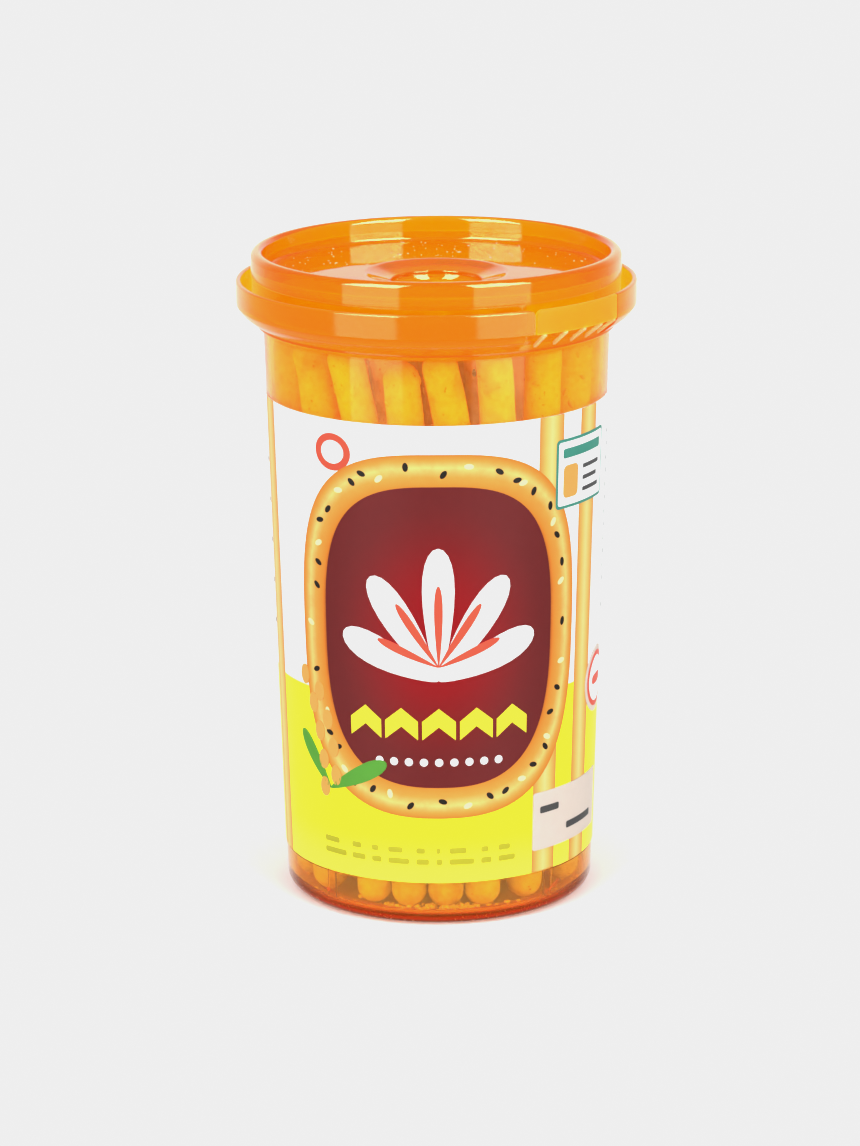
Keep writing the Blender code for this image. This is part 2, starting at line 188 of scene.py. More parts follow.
# Marks beside the panel, in millimetres from places that are given as an angle and a height: rounds as
# (ink, half width, half height, squareness, points, layer), then boxes and bars as (ink, left, foot, right,
# top, corner, layer)
OPEN_RING_PLACE = (-37.0, 107.5)
OPEN_RING = (
    ("coral", 4.6, 4.2, 2.0, 40, 1),
    ("white", 2.9, 2.6, 2.0, 32, 2),
)
DISC_PLACE = (76.0, 50.0)
DISC = (
    ("pale", 7.6, 7.6, 2.0, 48, 4),
    ("coral", 6.4, 6.4, 2.0, 48, 5),
    ("white", 5.2, 5.2, 2.0, 40, 6),
    ("coral", 3.4, 1.2, 3.0, 24, 7),
)
UPPER_BOX_PLACE = (43.0, 93.3)
UPPER_BOX = (
    ("teal", 0.0, 0.0, 19.0, 15.7, 1.0, 3),
    ("white", 0.7, 0.7, 18.3, 15.0, 0.6, 4),
    ("grey", 9.0, 2.7, 16.5, 3.7, 0.3, 5),
    ("grey", 9.0, 5.3, 15.5, 6.3, 0.3, 5),
    ("grey", 9.0, 7.9, 16.5, 8.9, 0.3, 5),
    ("teal", 2.0, 11.3, 17.0, 13.5, 0.5, 5),
    ("straw", 2.2, 2.3, 7.2, 9.7, 1.2, 5),
)
LOWER_BOX_PLACE = (35.7, 15.5)
LOWER_BOX = (
    ("pale", 0.0, 0.0, 27.0, 13.5, 0.6, 7),
    ("grey", 2.0, 8.5, 8.0, 10.1, 0.4, 8),
    ("grey", 11.0, 3.0, 23.0, 4.6, 0.4, 8),
)
SIDE_BAR_PLACES = ((82.5, 62.0), (-97.0, 62.0))
SIDE_BARS = tuple(
    ("grey", 0.4, 3.1 * row, 9.0 - 1.7 * (row % 3), 3.1 * row + 1.1, 0.3, 2) for row in range(15)
)

# Line of bars along the label's foot: full lengths in millimetres, then each row's foot and share of them
LINE_START = -46.0
LINE_GAP = 1.6 * MM
LINE_LENGTHS = (9.0, 5.0, 3.4, 7.0, 4.2, 2.0, 8.0, 3.6, 6.0)
LINE_ROWS = ((14.6 * MM, 0.72), (17.2 * MM, 0.5))
LINE_BAR = 1.4 * MM
LINE_CORNER = 0.5 * MM

# Colours of the plain inks, of the shades across the border and the stripes, and of seeds, crumbs and dust
INK_COLOURS = {
    "white": (0.93, 0.93, 0.93),
    "cream": (0.80, 0.62, 0.30),
    "brown": (0.012, 0.010, 0.008),
    "yellow": (0.90, 0.78, 0.03),
    "coral": (0.62, 0.065, 0.035),
    "green": (0.07, 0.24, 0.03),
    "straw": (0.58, 0.27, 0.06),
    "teal": (0.04, 0.20, 0.15),
    "pale": (0.50, 0.43, 0.38),
    "grey": (0.05, 0.05, 0.05),
    "olive": (0.34, 0.32, 0.02),
}
BORDER_INNER_EDGE = 0.79
BORDER_SHADES = (
    (0.0, (0.36, 0.08, 0.01)),
    (0.12, (0.54, 0.17, 0.02)),
    (0.42, (0.58, 0.25, 0.045)),
    (0.66, (0.64, 0.44, 0.13)),
    (0.84, (0.58, 0.25, 0.045)),
    (1.0, (0.48, 0.14, 0.015)),
)
BORDER_STREAK = (0.54, 0.18, 0.025, 1.0)
STRIPE_SHADES = (
    (0.0, (0.66, 0.48, 0.17)),
    (0.45, (0.62, 0.38, 0.09)),
    (1.0, (0.54, 0.19, 0.04)),
)
WHITE_SEED = ((0.86, 0.68, 0.38), (0.62, 0.34, 0.12))
BLACK_SEED = ((0.035, 0.02, 0.012), (0.01, 0.006, 0.004))
CRUMB = ((0.92, 0.74, 0.36), (0.66, 0.34, 0.10))
DUST = (0.9, 0.66, 0.34, 1.0)
BLACK = (0.0, 0.0, 0.0, 1.0)
WHITE = (1.0, 1.0, 1.0, 1.0)

# Finishes. A blend is the stretch over which a mask rises: in millimetres of height or of distance from the
# axis, and for the last two in how far a surface is turned away and in how far out on the panel it is
RING_BLEND = (128.4, 129.6)
RING_FACE_BLEND = (43.4, 44.0)
RIM_BLEND = (38.8, 39.6)
FOOT_BLEND = (2.2, 4.2)
HEEL_BLEND = (32.6, 33.4)
# GLOW_BLEND is where the painted glow of the tub's wall rises with height
GLOW_BLEND = (20.0, 110.0)
FILM_FOOT_BLEND = (11.0, 22.0)
FILM_EDGE_BLEND = (52.3, 52.7)
# EDGE_BLEND is where the painted edge glow rises as a surface turns edge-on
EDGE_BLEND = (0.40, 0.95)
PANEL_GLOW_BLEND = (0.1, 0.95)
RING_HAZE = 0.06
TAB_HAZE = 0.38
FOOT_HAZE = 0.22
TUB_SOLIDITY = 0.02
LID_SOLIDITY = 0.16
PLASTIC_IOR = 1.49
PLASTIC_SHADE = (0.96, 0.96, 0.96, 1.0)
FILM_GLOSS = 0.34
INK_GLOSS = 0.36
FILM_SPECULAR = 0.12
ABSORPTION_ROOM = 1.02

# Sticks: angle at the foot, drift up the tub and curl at the tip in degrees, then the tip's height and the
# share of the outer ring's radius at which the stick stands
Stick = namedtuple("Stick", "angle drift curl tip share")
WALL_GAP = 0.8 * MM
CURL_START = 95.0 * MM
CURL_END = 128.0 * MM
RANDOM_SEED = 12
FRONT_STICKS = (
    (-57.0, 12.0, -12.0, 131.0 * MM),
    (-29.5, 2.0, -10.0, 131.5 * MM),
    (-13.5, 3.0, -4.0, 127.7 * MM),
    (2.5, 7.0, -9.0, 130.5 * MM),
    (18.5, 8.0, -4.5, 131.5 * MM),
    (40.0, 5.0, 0.0, 132.0 * MM),
    (70.0, -8.0, 4.0, 130.5 * MM),
)

# The sticks behind them, then the inner rings as (count, share of the outer ring's radius)
BACK_STICK_COUNT = 11
BACK_START = 90.5
BACK_END = 282.0
BACK_DRIFT = 3.0
BACK_CURL = 3.0
INNER_RINGS = ((13, 0.705), (7, 0.41), (1, 0.0))
INNER_DRIFT = 3.0
INNER_CURL = -4.0
TIP_RANGE = (127.5 * MM, 132.3 * MM)

# How uneven and how browned the sticks are; the browned ends are shares of a stick's length
TONES = (0.0, 0.0, 0.05, 0.12, 0.22)
# The inner sticks are painted darker, as shade in the gaps between the outer sticks
INNER_PAINTED_SHADE = 0.5
END_BROWNING = 0.35
BROWNED_TIP = (0.955, 1.0)
BROWNED_FOOT = (0.07, 0.0)
THICKNESS_RANGE = (0.95, 1.03)
GUIDE_POINTS = 24
STICK_STEPS = 20
STICK_RING_STEP = 2.4 * MM
LUMP_SIZE = 7.0 * MM
RIPPLE_SIZE = 2.2 * MM
RIPPLE_SHARE = 0.3

# Sesame seeds; on the inner sticks only the few at the tips show
SEED_WIDTH = 1.15 * MM
SEED_LENGTH = 2.1 * MM
SEED_DEPTH = 0.8 * MM
SEED_SINK = 0.1 * MM
SEED_NARROWING = 0.4
SEED_SCALES = (0.8, 1.05)
SEED_REACH = (0.03, 0.97)
INNER_SEED_COUNT = 3
INNER_SEED_FOOT = 0.93
BLACK_SEED_EVERY = 9

# Crumbs, most of them heaped at the front of the floor, and dust on the lid: angles and their spread in
# degrees, sizes in millimetres, and how far crumbs lie beyond the flat of the floor
CRUMB_JAGS = (0.72, 1.15)
CRUMB_FLATNESS = 0.7
HEAP_ANGLE = -1.0
HEAP_SPREAD = 11.0
HEAPED_SIZES = (0.4, 1.6)
LOOSE_SIZES = (0.3, 1.1)
CRUMB_REACH = (-2.2, 1.3)
DUST_COUNT = 150
DUST_ANGLE = 180.0
DUST_SPREAD = 75.0
DUST_SIZES = (0.1, 0.26)
DUST_LENGTHS = (1.0, 1.0, 1.4, 3.5)

# Camera and picture, fitted to the rims and the foot of the tub; pitch and roll are in radians
PICTURE_HEIGHT = 1146
FOCAL_PIXELS = 4239.8
SENSOR = 36.0
CAMERA_PLACE = (-1.77 * MM, -923.2 * MM, 320.5 * MM)
CAMERA_PITCH = 0.2629
CAMERA_ROLL = -0.0058
WALL_BOUNCES = 20
DIFFUSE_BOUNCES = 8

# Softboxes either side of the camera, in degrees, with cards from their feet down
SOFTBOX_AZIMUTH = 41.5
SOFTBOX_WIDTH = 37.0
SOFTBOX_ELEVATION = 34.0
SOFTBOX_FOOT = 10.0
SOFTBOX_TOP = 60.0
CARD_FOOT = -16.0
SOFTBOX_EDGE = 1.0
LAMP_ANGLE = 28.0

# Room: where its parts fade in, as Y or Z of the direction looked in
BACKDROP_START = (-0.35, 0.25)
BACKDROP_TOP = (0.25, 0.75)
MIRRORED_START = (0.5, 0.95)
MIRRORED_TOP = (0.32, 0.5)
HORIZON = (-0.02, 0.02)
FLOOR_PAPER = (0.82, 0.82, 0.82, 1.0)


def length_prop(name, description, default):
    """Setting that is a length."""
    return FloatProperty(name=name, description=description, default=default, unit="LENGTH")


def number_prop(name, description, default):
    """Setting without a unit: an angle in degrees, a strength or a brightness."""
    return FloatProperty(name=name, description=description, default=default)


def count_prop(name, description, default, least=0):
    """Setting that is a whole number."""
    return IntProperty(name=name, description=description, default=default, min=least)


def colour_prop(name, description, default):
    """Setting that is a colour, as linear red, green and blue."""
    return FloatVectorProperty(
        name=name, description=description, default=default, subtype="COLOR", min=0.0, max=1.0,
    )


class TubSettings(PropertyGroup):
    """Sizes of the moulded tub."""

    foot_radius: length_prop("Foot radius", "Outer radius of the wall at the foot", 34.6 * MM)
    shoulder_radius: length_prop("Shoulder radius", "Outer radius of the wall below the ledge", 38.45 * MM)
    wall: length_prop("Wall", "Thickness of the tub's wall", 1.1 * MM)
    heel_radius: length_prop("Heel", "Rounding between wall and foot", 3.5 * MM)
    base_recess: length_prop("Base recess", "Height of the base above the foot ring", 1.0 * MM)
    base_thickness: length_prop("Base thickness", "Thickness of the base", 1.2 * MM)
    ring_wall: length_prop("Ring wall", "Thickness of the tamper ring", 1.1 * MM)
    tab_start: number_prop("Tab start", "Where the tear tab's slit is, in degrees from the front", 28.65)
    tab_end: number_prop("Tab end", "Where the tear tab ends, in degrees from the front", 61.9)
    turn_steps: count_prop("Turn steps", "Facets round the tub", 200, least=24)


class LidSettings(PropertyGroup):
    """Sizes of the snap lid."""

    panel_height: length_prop("Panel height", "Height of the lid's flat panel", 141.1 * MM)
    dish_depth: length_prop("Dish", "Depth of the shallow dish round the gate dimple", 1.6 * MM)
    dimple_radius: length_prop("Dimple radius", "Radius of the gate dimple", 10.4 * MM)
    dimple_floor: length_prop("Dimple floor", "Height of the dimple's floor", 136.6 * MM)


class StickSettings(PropertyGroup):
    """Sizes of the baked sticks and what is on them."""

    radius: length_prop("Stick radius", "Radius of a stick", 3.95 * MM)
    unevenness: length_prop("Unevenness", "Depth of the lumps in a stick", 0.45 * MM)
    seeds_per_stick: count_prop("Seeds", "Sesame seeds that show on an outer stick", 20)
    crumb_count: count_prop("Crumbs", "Crumbs on the tub's floor", 190)


class FinishSettings(PropertyGroup):
    """Colours of the tub, its print and its contents, and of the painted glow on its plastic and film."""

    tub_tint: colour_prop("Tub depth", "Light that a millimetre of the tub lets through", (0.99, 0.75, 0.12))
    lid_tint: colour_prop("Lid depth", "Light that a millimetre of the lid lets through", (0.99, 0.69, 0.02))
    plastic_body: colour_prop("Wall", "Colour of the wall's surfaces", (1.0, 1.0, 0.50))
    ring_body: colour_prop("Ring", "Colour of the ring's surfaces", (1.0, 0.40, 0.02))
    lid_body: colour_prop("Lid", "Colour of the lid's surfaces", (1.0, 0.54, 0.006))
    tab_body: colour_prop("Tab", "Colour of the matt tear tab's surfaces", (1.0, 0.95, 0.24))
    # Painted highlight: the bars' pale colour stands in for the light that their thin rounded faces catch
    bridge_highlight_paint: colour_prop("Bars", "Colour of the thin bars below the tab", (0.80, 0.46, 0.15))
    foot_body: colour_prop("Foot", "Colour of the tub's edge at the foot", (1.0, 0.50, 0.02))
    # Painted glow: emission on the plastic that stands in for light it scatters and pipes, and for its
    # edge-on sheen
    foot_glow: colour_prop("Foot glow", "Light that the wall pipes down to the foot", (0.07, 0.018, 0.0))
    base_glow: colour_prop("Base glow", "Light that the wall scatters low down", (0.035, 0.020, 0.012))
    wall_glow: colour_prop("Wall glow", "Light that the wall scatters high up", (0.16, 0.022, 0.0))
    ring_glow: colour_prop("Ring glow", "Light that the ring scatters", (0.20, 0.114, 0.004))
    lid_glow: colour_prop("Lid glow", "Light that the lid scatters", (0.05, 0.002, 0.0))
    edge_glow: colour_prop("Edge glow", "Light from the rim and the ring seen edge-on", (0.22, 0.22, 0.06))
    plastic_sheen: colour_prop("Sheen", "Colour of what the plastic mirrors head-on", (1.0, 0.92, 0.42))
    # Painted glow: the film's inner face emits light that stands in for daylight through the film
    film_glow: number_prop("Film glow", "Light that the film lets through to the tub's inside", 0.45)
    film_light: colour_prop("Film light", "Colour of the light let through", (1.0, 0.66, 0.36))
    film_white: colour_prop("Film white", "White part of the label", (0.93, 0.93, 0.93))
    film_yellow: colour_prop("Film yellow", "Yellow part of the label", (0.86, 0.90, 0.018))
    film_pale: colour_prop("Film foot", "Paler yellow along the label's foot", (0.84, 0.80, 0.05))
    panel_dark: colour_prop("Panel", "Deep red of the label's panel", (0.10, 0.012, 0.012))
    panel_bright: colour_prop("Panel glow", "Brighter red in the panel's middle", (0.21, 0.004, 0.006))
    biscuit: colour_prop("Biscuit", "Pale gold of the sticks", (1.0, 0.90, 0.50))
    crust: colour_prop("Crust", "Brown of the sticks' browned ends", (0.40, 0.15, 0.035))


class StageSettings(PropertyGroup):
    """Floor and light."""

    floor_size: length_prop("Floor", "Width of the floor", 8.0)
    key_radiance: number_prop("Key radiance", "Brightness of each softbox's face", 4.2)
    mirror_boost: number_prop("Mirror boost", "How many times brighter softboxes are mirrored", 7.0)
    card_radiance: number_prop("Card radiance", "Brightness of the low cards that the walls mirror", 4.0)
    lamp_strength: number_prop("Lamp strength", "Strength of the lamp in each softbox", 0.35)
    sky: number_prop("Sky", "Brightness of the room overhead", 1.0)
    mirrored_front: number_prop("Mirrored front", "Brightness in reflections of the room in front", 0.35)
    mirrored_floor: number_prop("Mirrored floor", "Brightness in reflections of the floor behind", 1.1)
    mirrored_backdrop: number_prop("Mirrored backdrop", "Brightness in reflections of the backdrop", 1.35)
    backdrop: number_prop("Backdrop", "Brightness of the room behind the tub", 1.4)
    white_level: number_prop("White level", "Linear level that full white is shown at", 0.857)


def wall_radius(height):
    """Outer radius of the plain tapered wall at a height."""
    tub = bpy.context.scene.snack_tub
    return tub.foot_radius + (tub.shoulder_radius - tub.foot_radius) * height / SHOULDER_HEIGHT


def around(angle, radius, height):
    """Point at an angle in degrees from the front, towards +X."""
    turn = math.radians(angle)
    return Vector((radius * math.sin(turn), -radius * math.cos(turn), height))


def arc(centre, radius, start, end, steps):
    """Points of a round stretch in an outline, angles in degrees from +X towards the second axis."""
    points = []
    for step in range(steps + 1):
        turn = math.radians(start + (end - start) * step / steps)
        points.append((centre[0] + radius * math.cos(turn), centre[1] + radius * math.sin(turn)))
    return points


def start_clean():
    """Object mode with nothing selected, so that an operator acts on its own piece alone."""
    if bpy.context.object and bpy.context.object.mode != "OBJECT":
        bpy.ops.object.mode_set(mode="OBJECT")
    bpy.ops.object.select_all(action="DESELECT")


def pick(*pieces):
    """Select these pieces alone, with the first one active."""
    start_clean()
    for piece in pieces:
        piece.select_set(True)
    bpy.context.view_layer.objects.active = pieces[0]
    return pieces[0]


def use_modifier(piece, kind, **values):
    """Add a modifier, set it and apply it."""
    modifier = piece.modifiers.new(kind.lower(), kind)
    for name, value in values.items():
        setattr(modifier, name, value)
    pick(piece)
    bpy.ops.object.modifier_apply(modifier=modifier.name)
    return piece


def tidy_mesh(piece, crease=35.0):
    """Merge doubles, turn the faces outwards and shade smooth, with edges sharper than the crease kept."""
    pick(piece)
    bpy.ops.object.mode_set(mode="EDIT")
    bpy.ops.mesh.select_all(action="SELECT")
    bpy.ops.mesh.remove_doubles(threshold=MERGE)
    bpy.ops.mesh.normals_make_consistent(inside=False)
    bpy.ops.object.mode_set(mode="OBJECT")
    bpy.ops.object.shade_smooth_by_angle(angle=math.radians(crease))
    return piece


def true_to_faces(piece):
    """Shade by the large faces, so that what is seen through a flat wall isn't bent by its rounded edges."""
    return use_modifier(piece, "WEIGHTED_NORMAL", weight=100, keep_sharp=True)


def join_pieces(name, pieces):
    """One piece of several."""
    piece = pick(*pieces)
    if len(pieces) > 1:
        bpy.ops.object.join()
    piece.name = name
    piece.data.name = name
    return piece


def dress(piece, material, node=None):
    """Give a finished piece its material and its place on the body, and hide the solid that it stands for.
    """
    piece.data.materials.clear()
    piece.data.materials.append(material)
    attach(piece, BODY)
    if node:
        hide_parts(node)
    return piece


def turned_piece(name, outline, steps):
    """Piece turned on the tub's axis: a point is extruded along the outline, which is then screwed round."""
    start_clean()
    bpy.ops.mesh.primitive_plane_add(size=MM)
    piece = bpy.context.object
    piece.name = name
    bpy.ops.object.mode_set(mode="EDIT")
    bpy.ops.mesh.merge(type="CENTER")
    here = Vector((0.0, 0.0, 0.0))
    for index, (radius, height) in enumerate(outline):
        there = Vector((radius, 0.0, height))
        if index == 0:
            bpy.ops.transform.translate(value=there)
        else:
            bpy.ops.mesh.extrude_region_move(TRANSFORM_OT_translate={"value": there - here})
        here = there
    bpy.ops.object.mode_set(mode="OBJECT")
    use_modifier(
        piece, "SCREW", axis="Z", angle=math.radians(360.0), steps=steps, render_steps=steps,
        use_merge_vertices=True, merge_threshold=MERGE, use_smooth_shade=True,
    )
    return piece


def flat_slab(outline, low, high):
    """Closed slab with an outline in X and Y, from one height to another: a circle, shaped and extruded."""
    start_clean()
    bpy.ops.mesh.primitive_circle_add(vertices=len(outline), radius=MM, fill_type="NGON")
    slab = bpy.context.object
    for vertex, (x, y) in zip(slab.data.vertices, outline):
        vertex.co = (x, y, low)
    bpy.ops.object.mode_set(mode="EDIT")
    bpy.ops.mesh.select_all(action="SELECT")
    bpy.ops.mesh.extrude_region_move(TRANSFORM_OT_translate={"value": (0.0, 0.0, high - low)})
    bpy.ops.mesh.select_all(action="SELECT")
    bpy.ops.mesh.normals_make_consistent(inside=False)
    bpy.ops.object.mode_set(mode="OBJECT")
    return slab


def slice_across(piece, axis, start, end, step):
    """Cut a piece's faces across an axis every step, so that they can bend there."""
    pick(piece)
    bpy.ops.object.mode_set(mode="EDIT")
    normal = Vector((0.0, 0.0, 0.0))
    normal[axis] = 1.0
    for index in range(math.ceil(start / step), math.floor(end / step) + 1):
        bpy.ops.mesh.select_all(action="SELECT")
        bpy.ops.mesh.bisect(plane_co=normal * index * step, plane_no=normal)
    bpy.ops.object.mode_set(mode="OBJECT")


def arc_block(angles, heights, radii):
    """Block bent round the tub's axis, for cutting or joining."""
    start_clean()
    bpy.ops.mesh.primitive_cube_add(size=1.0, location=(0.5, 0.5, 0.5))
    block = bpy.context.object
    bpy.ops.object.transform_apply(location=True, rotation=False, scale=False)
    facets = max(1, round(abs(angles[1] - angles[0]) / BLOCK_STEP))
    slice_across(block, 0, 0.0, 1.0, 1.0 / facets)
    for vertex in block.data.vertices:
        share = vertex.co.copy()
        angle = angles[0] + (angles[1] - angles[0]) * share.x
        radius = radii[0] + (radii[1] - radii[0]) * share.y
        vertex.co = around(angle, radius, heights[0] + (heights[1] - heights[0]) * share.z)
    return block


def combine(piece, cutters, operation):
    """Cut pieces out of a piece or join them to it, and remove them."""
    cutter = tidy_mesh(join_pieces("cutter", cutters))
    use_modifier(piece, "BOOLEAN", object=cutter, operation=operation, solver="EXACT")
    bpy.data.objects.remove(cutter)


def tub_outline():
    """Half section of the tub: inside from the axis up to the neck, over the ring and down the outside."""
    tub = bpy.context.scene.snack_tub
    floor = tub.base_recess + tub.base_thickness
    inner_heel = (wall_radius(floor) - tub.wall - INNER_HEEL_RADIUS, floor + INNER_HEEL_RADIUS)
    inside = [(0.0, floor)]
    inside += arc(inner_heel, INNER_HEEL_RADIUS, -90.0, 0.0, 8)
    inside.append((wall_radius(SHOULDER_HEIGHT) - tub.wall, SHOULDER_HEIGHT))
    inside.append((NECK_INNER_RADIUS, NECK_FOOT))

    lip = NECK_WALL / 2.5
    neck_outer = NECK_INNER_RADIUS + NECK_WALL
    neck = arc((NECK_INNER_RADIUS + lip, NECK_TOP - lip), lip, 180.0, 90.0, 3)
    neck += arc((neck_outer - lip, NECK_TOP - lip), lip, 90.0, 0.0, 3)

    ring_inner = RING_RADIUS - tub.ring_wall
    edge = tub.ring_wall / 2.6
    gutter = [
        (neck_outer, GUTTER_FLOOR),
        (neck_outer + GUTTER_CORNER, GUTTER_FLOOR - GUTTER_SLOPE),
        (ring_inner - GUTTER_CORNER, GUTTER_FLOOR + GUTTER_SLOPE),
        (ring_inner, RING_FOOT + GUTTER_SLOPE),
    ]
    ring = arc((ring_inner + edge, RING_TOP - edge), edge, 180.0, 90.0, 4)
    ring += arc((RING_RADIUS - edge, RING_TOP - edge), edge, 90.0, 0.0, 4)
    ring.append((RING_RADIUS, RING_FOOT))
    ring += [(RING_RADIUS - inwards * MM, RING_FOOT - down * MM) for inwards, down in RING_UNDERSIDE]
    ledge = [(LEDGE_RADIUS, LEDGE_TOP)]
    ledge += arc((LEDGE_RADIUS - LEDGE_EDGE / 2.0, LEDGE_TOP - LEDGE_EDGE), LEDGE_EDGE / 2.0, 0.0, -80.0, 4)
    ledge.append((wall_radius(SHOULDER_HEIGHT), SHOULDER_HEIGHT))

    recess_depth = LABEL_THICKNESS - LABEL_PROUD + RECESS_ROOM
    recess_top = LABEL_TOP + CLEARANCE
    recess_foot = LABEL_FOOT - CLEARANCE
    recess = [
        (wall_radius(recess_top), recess_top + recess_depth),
        (wall_radius(recess_top) - recess_depth, recess_top),
        (wall_radius(recess_foot) - recess_depth, recess_foot),
        (wall_radius(recess_foot), recess_foot - recess_depth),
    ]

    heel = (wall_radius(tub.heel_radius) - tub.heel_radius, tub.heel_radius)
    foot_inner = heel[0] - FOOT_RING_WIDTH
    foot = arc(heel, tub.heel_radius, 0.0, -90.0, 10)
    foot += [(foot_inner, 0.0), (foot_inner - tub.base_recess, tub.base_recess), (0.0, tub.base_recess)]
    return inside + neck + gutter + ring + ledge + recess + foot


def lid_outline():
    """Half section of the lid: dimple, dish and panel, up the well, over the bead and back below."""
    lid = bpy.context.scene.snack_lid
    lip = lid.panel_height - lid.dish_depth
    slope = math.degrees(math.atan2(lid.dish_depth, DISH_RADIUS - lid.dimple_radius))
    dimple_wall = lid.dimple_radius - DIMPLE_EDGE
    dimple_centre = (dimple_wall - DIMPLE_FILLET, lid.dimple_floor + DIMPLE_FILLET)
    well = [(0.0, lid.dimple_floor)]
    well += arc(dimple_centre, DIMPLE_FILLET, -90.0, 0.0, 10)
    well += arc((lid.dimple_radius, lip - DIMPLE_EDGE), DIMPLE_EDGE, 180.0, 90.0 + slope, 5)
    well += [
        (DISH_RADIUS - DISH_ROUND, lid.panel_height - DISH_ROUND * math.tan(math.radians(slope))),
        (DISH_RADIUS, lid.panel_height - DISH_EDGE_DROP),
        (DISH_RADIUS + DISH_ROUND, lid.panel_height),
    ]
    fillet_centre = (LID_MOUTH_RADIUS - PANEL_FILLET, lid.panel_height + PANEL_FILLET)
    well += arc(fillet_centre, PANEL_FILLET, -90.0, 0.0, 8)

    inner_round = (LID_MOUTH_RADIUS + INNER_EDGE_ROUND, LID_TOP - INNER_EDGE_ROUND)
    outer_round = (LID_RADIUS - OUTER_EDGE_ROUND, LID_TOP - OUTER_EDGE_ROUND)
    bead = arc(inner_round, INNER_EDGE_ROUND, 180.0, 90.0, 9)
    bead += arc(outer_round, OUTER_EDGE_ROUND, 90.0, 0.0, 9)
    skirt_inner = NECK_INNER_RADIUS + NECK_WALL + CLEARANCE
    plug = NECK_INNER_RADIUS - CLEARANCE
    skirt = arc((LID_RADIUS - BEAD_STEP, BEAD_FOOT), BEAD_STEP, 0.0, -50.0, 3)
    skirt += [
        (SKIRT_RADIUS, BEAD_FOOT - BEAD_STEP),
        (SKIRT_RADIUS, SKIRT_FOOT),
        (skirt_inner, SKIRT_FOOT),
        (skirt_inner, NECK_TOP + CLEARANCE),
        (plug, NECK_TOP + CLEARANCE),
    ]
    under = lid.panel_height - PANEL_THICKNESS
    under_dimple = lid.dimple_floor - PANEL_THICKNESS
    bottom = [(plug, under), (DISH_RADIUS, under)]
    bottom.append((lid.dimple_radius + PANEL_THICKNESS, lip - PANEL_THICKNESS))
    bottom += arc(dimple_centre, DIMPLE_FILLET + PANEL_THICKNESS, -12.0, -90.0, 8)
    bottom.append((0.0, under_dimple))
    return well + bead + skirt + bottom


def slit_cutter(angle, width, corner):
    """Cutter for one end of the tear tab: a slit through the ring, with rounded shoulders at its mouth."""
    half = width / 2.0
    mouth = RING_TOP + MM
    right = [(half, SLIT_FOOT)]
    if corner > 0.0:
        right += arc((half + corner, RING_TOP - corner), corner, 180.0, 90.0, 6)
        right.append((half + corner, mouth))
    else:
        right.append((half, mouth))
    outline = right + [(-x, z) for x, z in reversed(right)]
    reach = 2.5 * bpy.context.scene.snack_tub.ring_wall
    cutter = flat_slab(outline, -reach, reach)
    upright = Matrix.Rotation(math.radians(90.0), 4, "X")
    turn = Matrix.Rotation(math.radians(angle), 4, "Z")
    cutter.data.transform(Matrix.Translation(around(angle, RING_RADIUS, 0.0)) @ turn @ upright)
    return cutter


def window_cutter():
    """Opening below the tear tab."""
    return arc_block(WINDOW_ANGLES, (WINDOW_FOOT, TAB_FOOT), (WINDOW_INNER_RADIUS, RING_RADIUS + MM))


def bridge_bars():
    """Slanted bars that hold the tear tab over its opening, sunk into the tub at both ends."""
    bars = []
    rise = (BRIDGE_FEET[1] - BRIDGE_FEET[0]) / (BRIDGE_RADII[1] - BRIDGE_RADII[0])
    for index in range(BRIDGE_COUNT):
        middle = BRIDGE_FIRST + index * BRIDGE_SPACING
        angles = (middle - BRIDGE_WIDTH / 2.0, middle + BRIDGE_WIDTH / 2.0)
        bar = arc_block(angles, (BRIDGE_FEET[0], BRIDGE_FEET[0] + BRIDGE_DEPTH), BRIDGE_RADII)
        for vertex in bar.data.vertices:
            vertex.co.z += rise * (vertex.co.xy.length - BRIDGE_RADII[0])
        bars.append(use_modifier(bar, "BEVEL", width=BRIDGE_EDGE, segments=2))
    return bars


def rib_blocks():
    """Short upright ribs low inside the wall, sunk into it."""
    wall = bpy.context.scene.snack_tub.wall
    half = math.degrees(RIB_WIDTH / bpy.context.scene.snack_tub.foot_radius) / 2.0
    inner = wall_radius(RIB_TOP / 2.0) - wall - RIB_DEPTH
    blocks = []
    for rib in range(RIB_COUNT):
        middle = (rib + 0.5) * 360.0 / RIB_COUNT
        radii = (inner, inner + RIB_DEPTH + wall / 2.0)
        blocks.append(arc_block((middle - half, middle + half), (RIB_FOOT, RIB_TOP), radii))
    return blocks


def oval(centre, half_width, half_height, power=2.0, count=72):
    """Outline of an oval; a power above 2 squares it."""
    points = []
    for index in range(count):
        turn = 2.0 * math.pi * index / count
        x = math.copysign(abs(math.cos(turn)) ** (2.0 / power), math.cos(turn))
        y = math.copysign(abs(math.sin(turn)) ** (2.0 / power), math.sin(turn))
        points.append((centre[0] + half_width * x, centre[1] + half_height * y))
    return points


def rounded_box(left, foot, right, top, corner):
    """Outline of a box with rounded corners."""
    points = arc((right - corner, top - corner), corner, 0.0, 90.0, 4)
    points += arc((left + corner, top - corner), corner, 90.0, 180.0, 4)
    points += arc((left + corner, foot + corner), corner, 180.0, 270.0, 4)
    points += arc((right - corner, foot + corner), corner, 270.0, 360.0, 4)
    return points


def turned_outline(outline, centre, degrees):
    """Outline turned about the origin and then moved."""
    turn = math.radians(degrees)
    cosine = math.cos(turn)
    sine = math.sin(turn)
    return [(centre[0] + x * cosine - y * sine, centre[1] + x * sine + y * cosine) for x, y in outline]


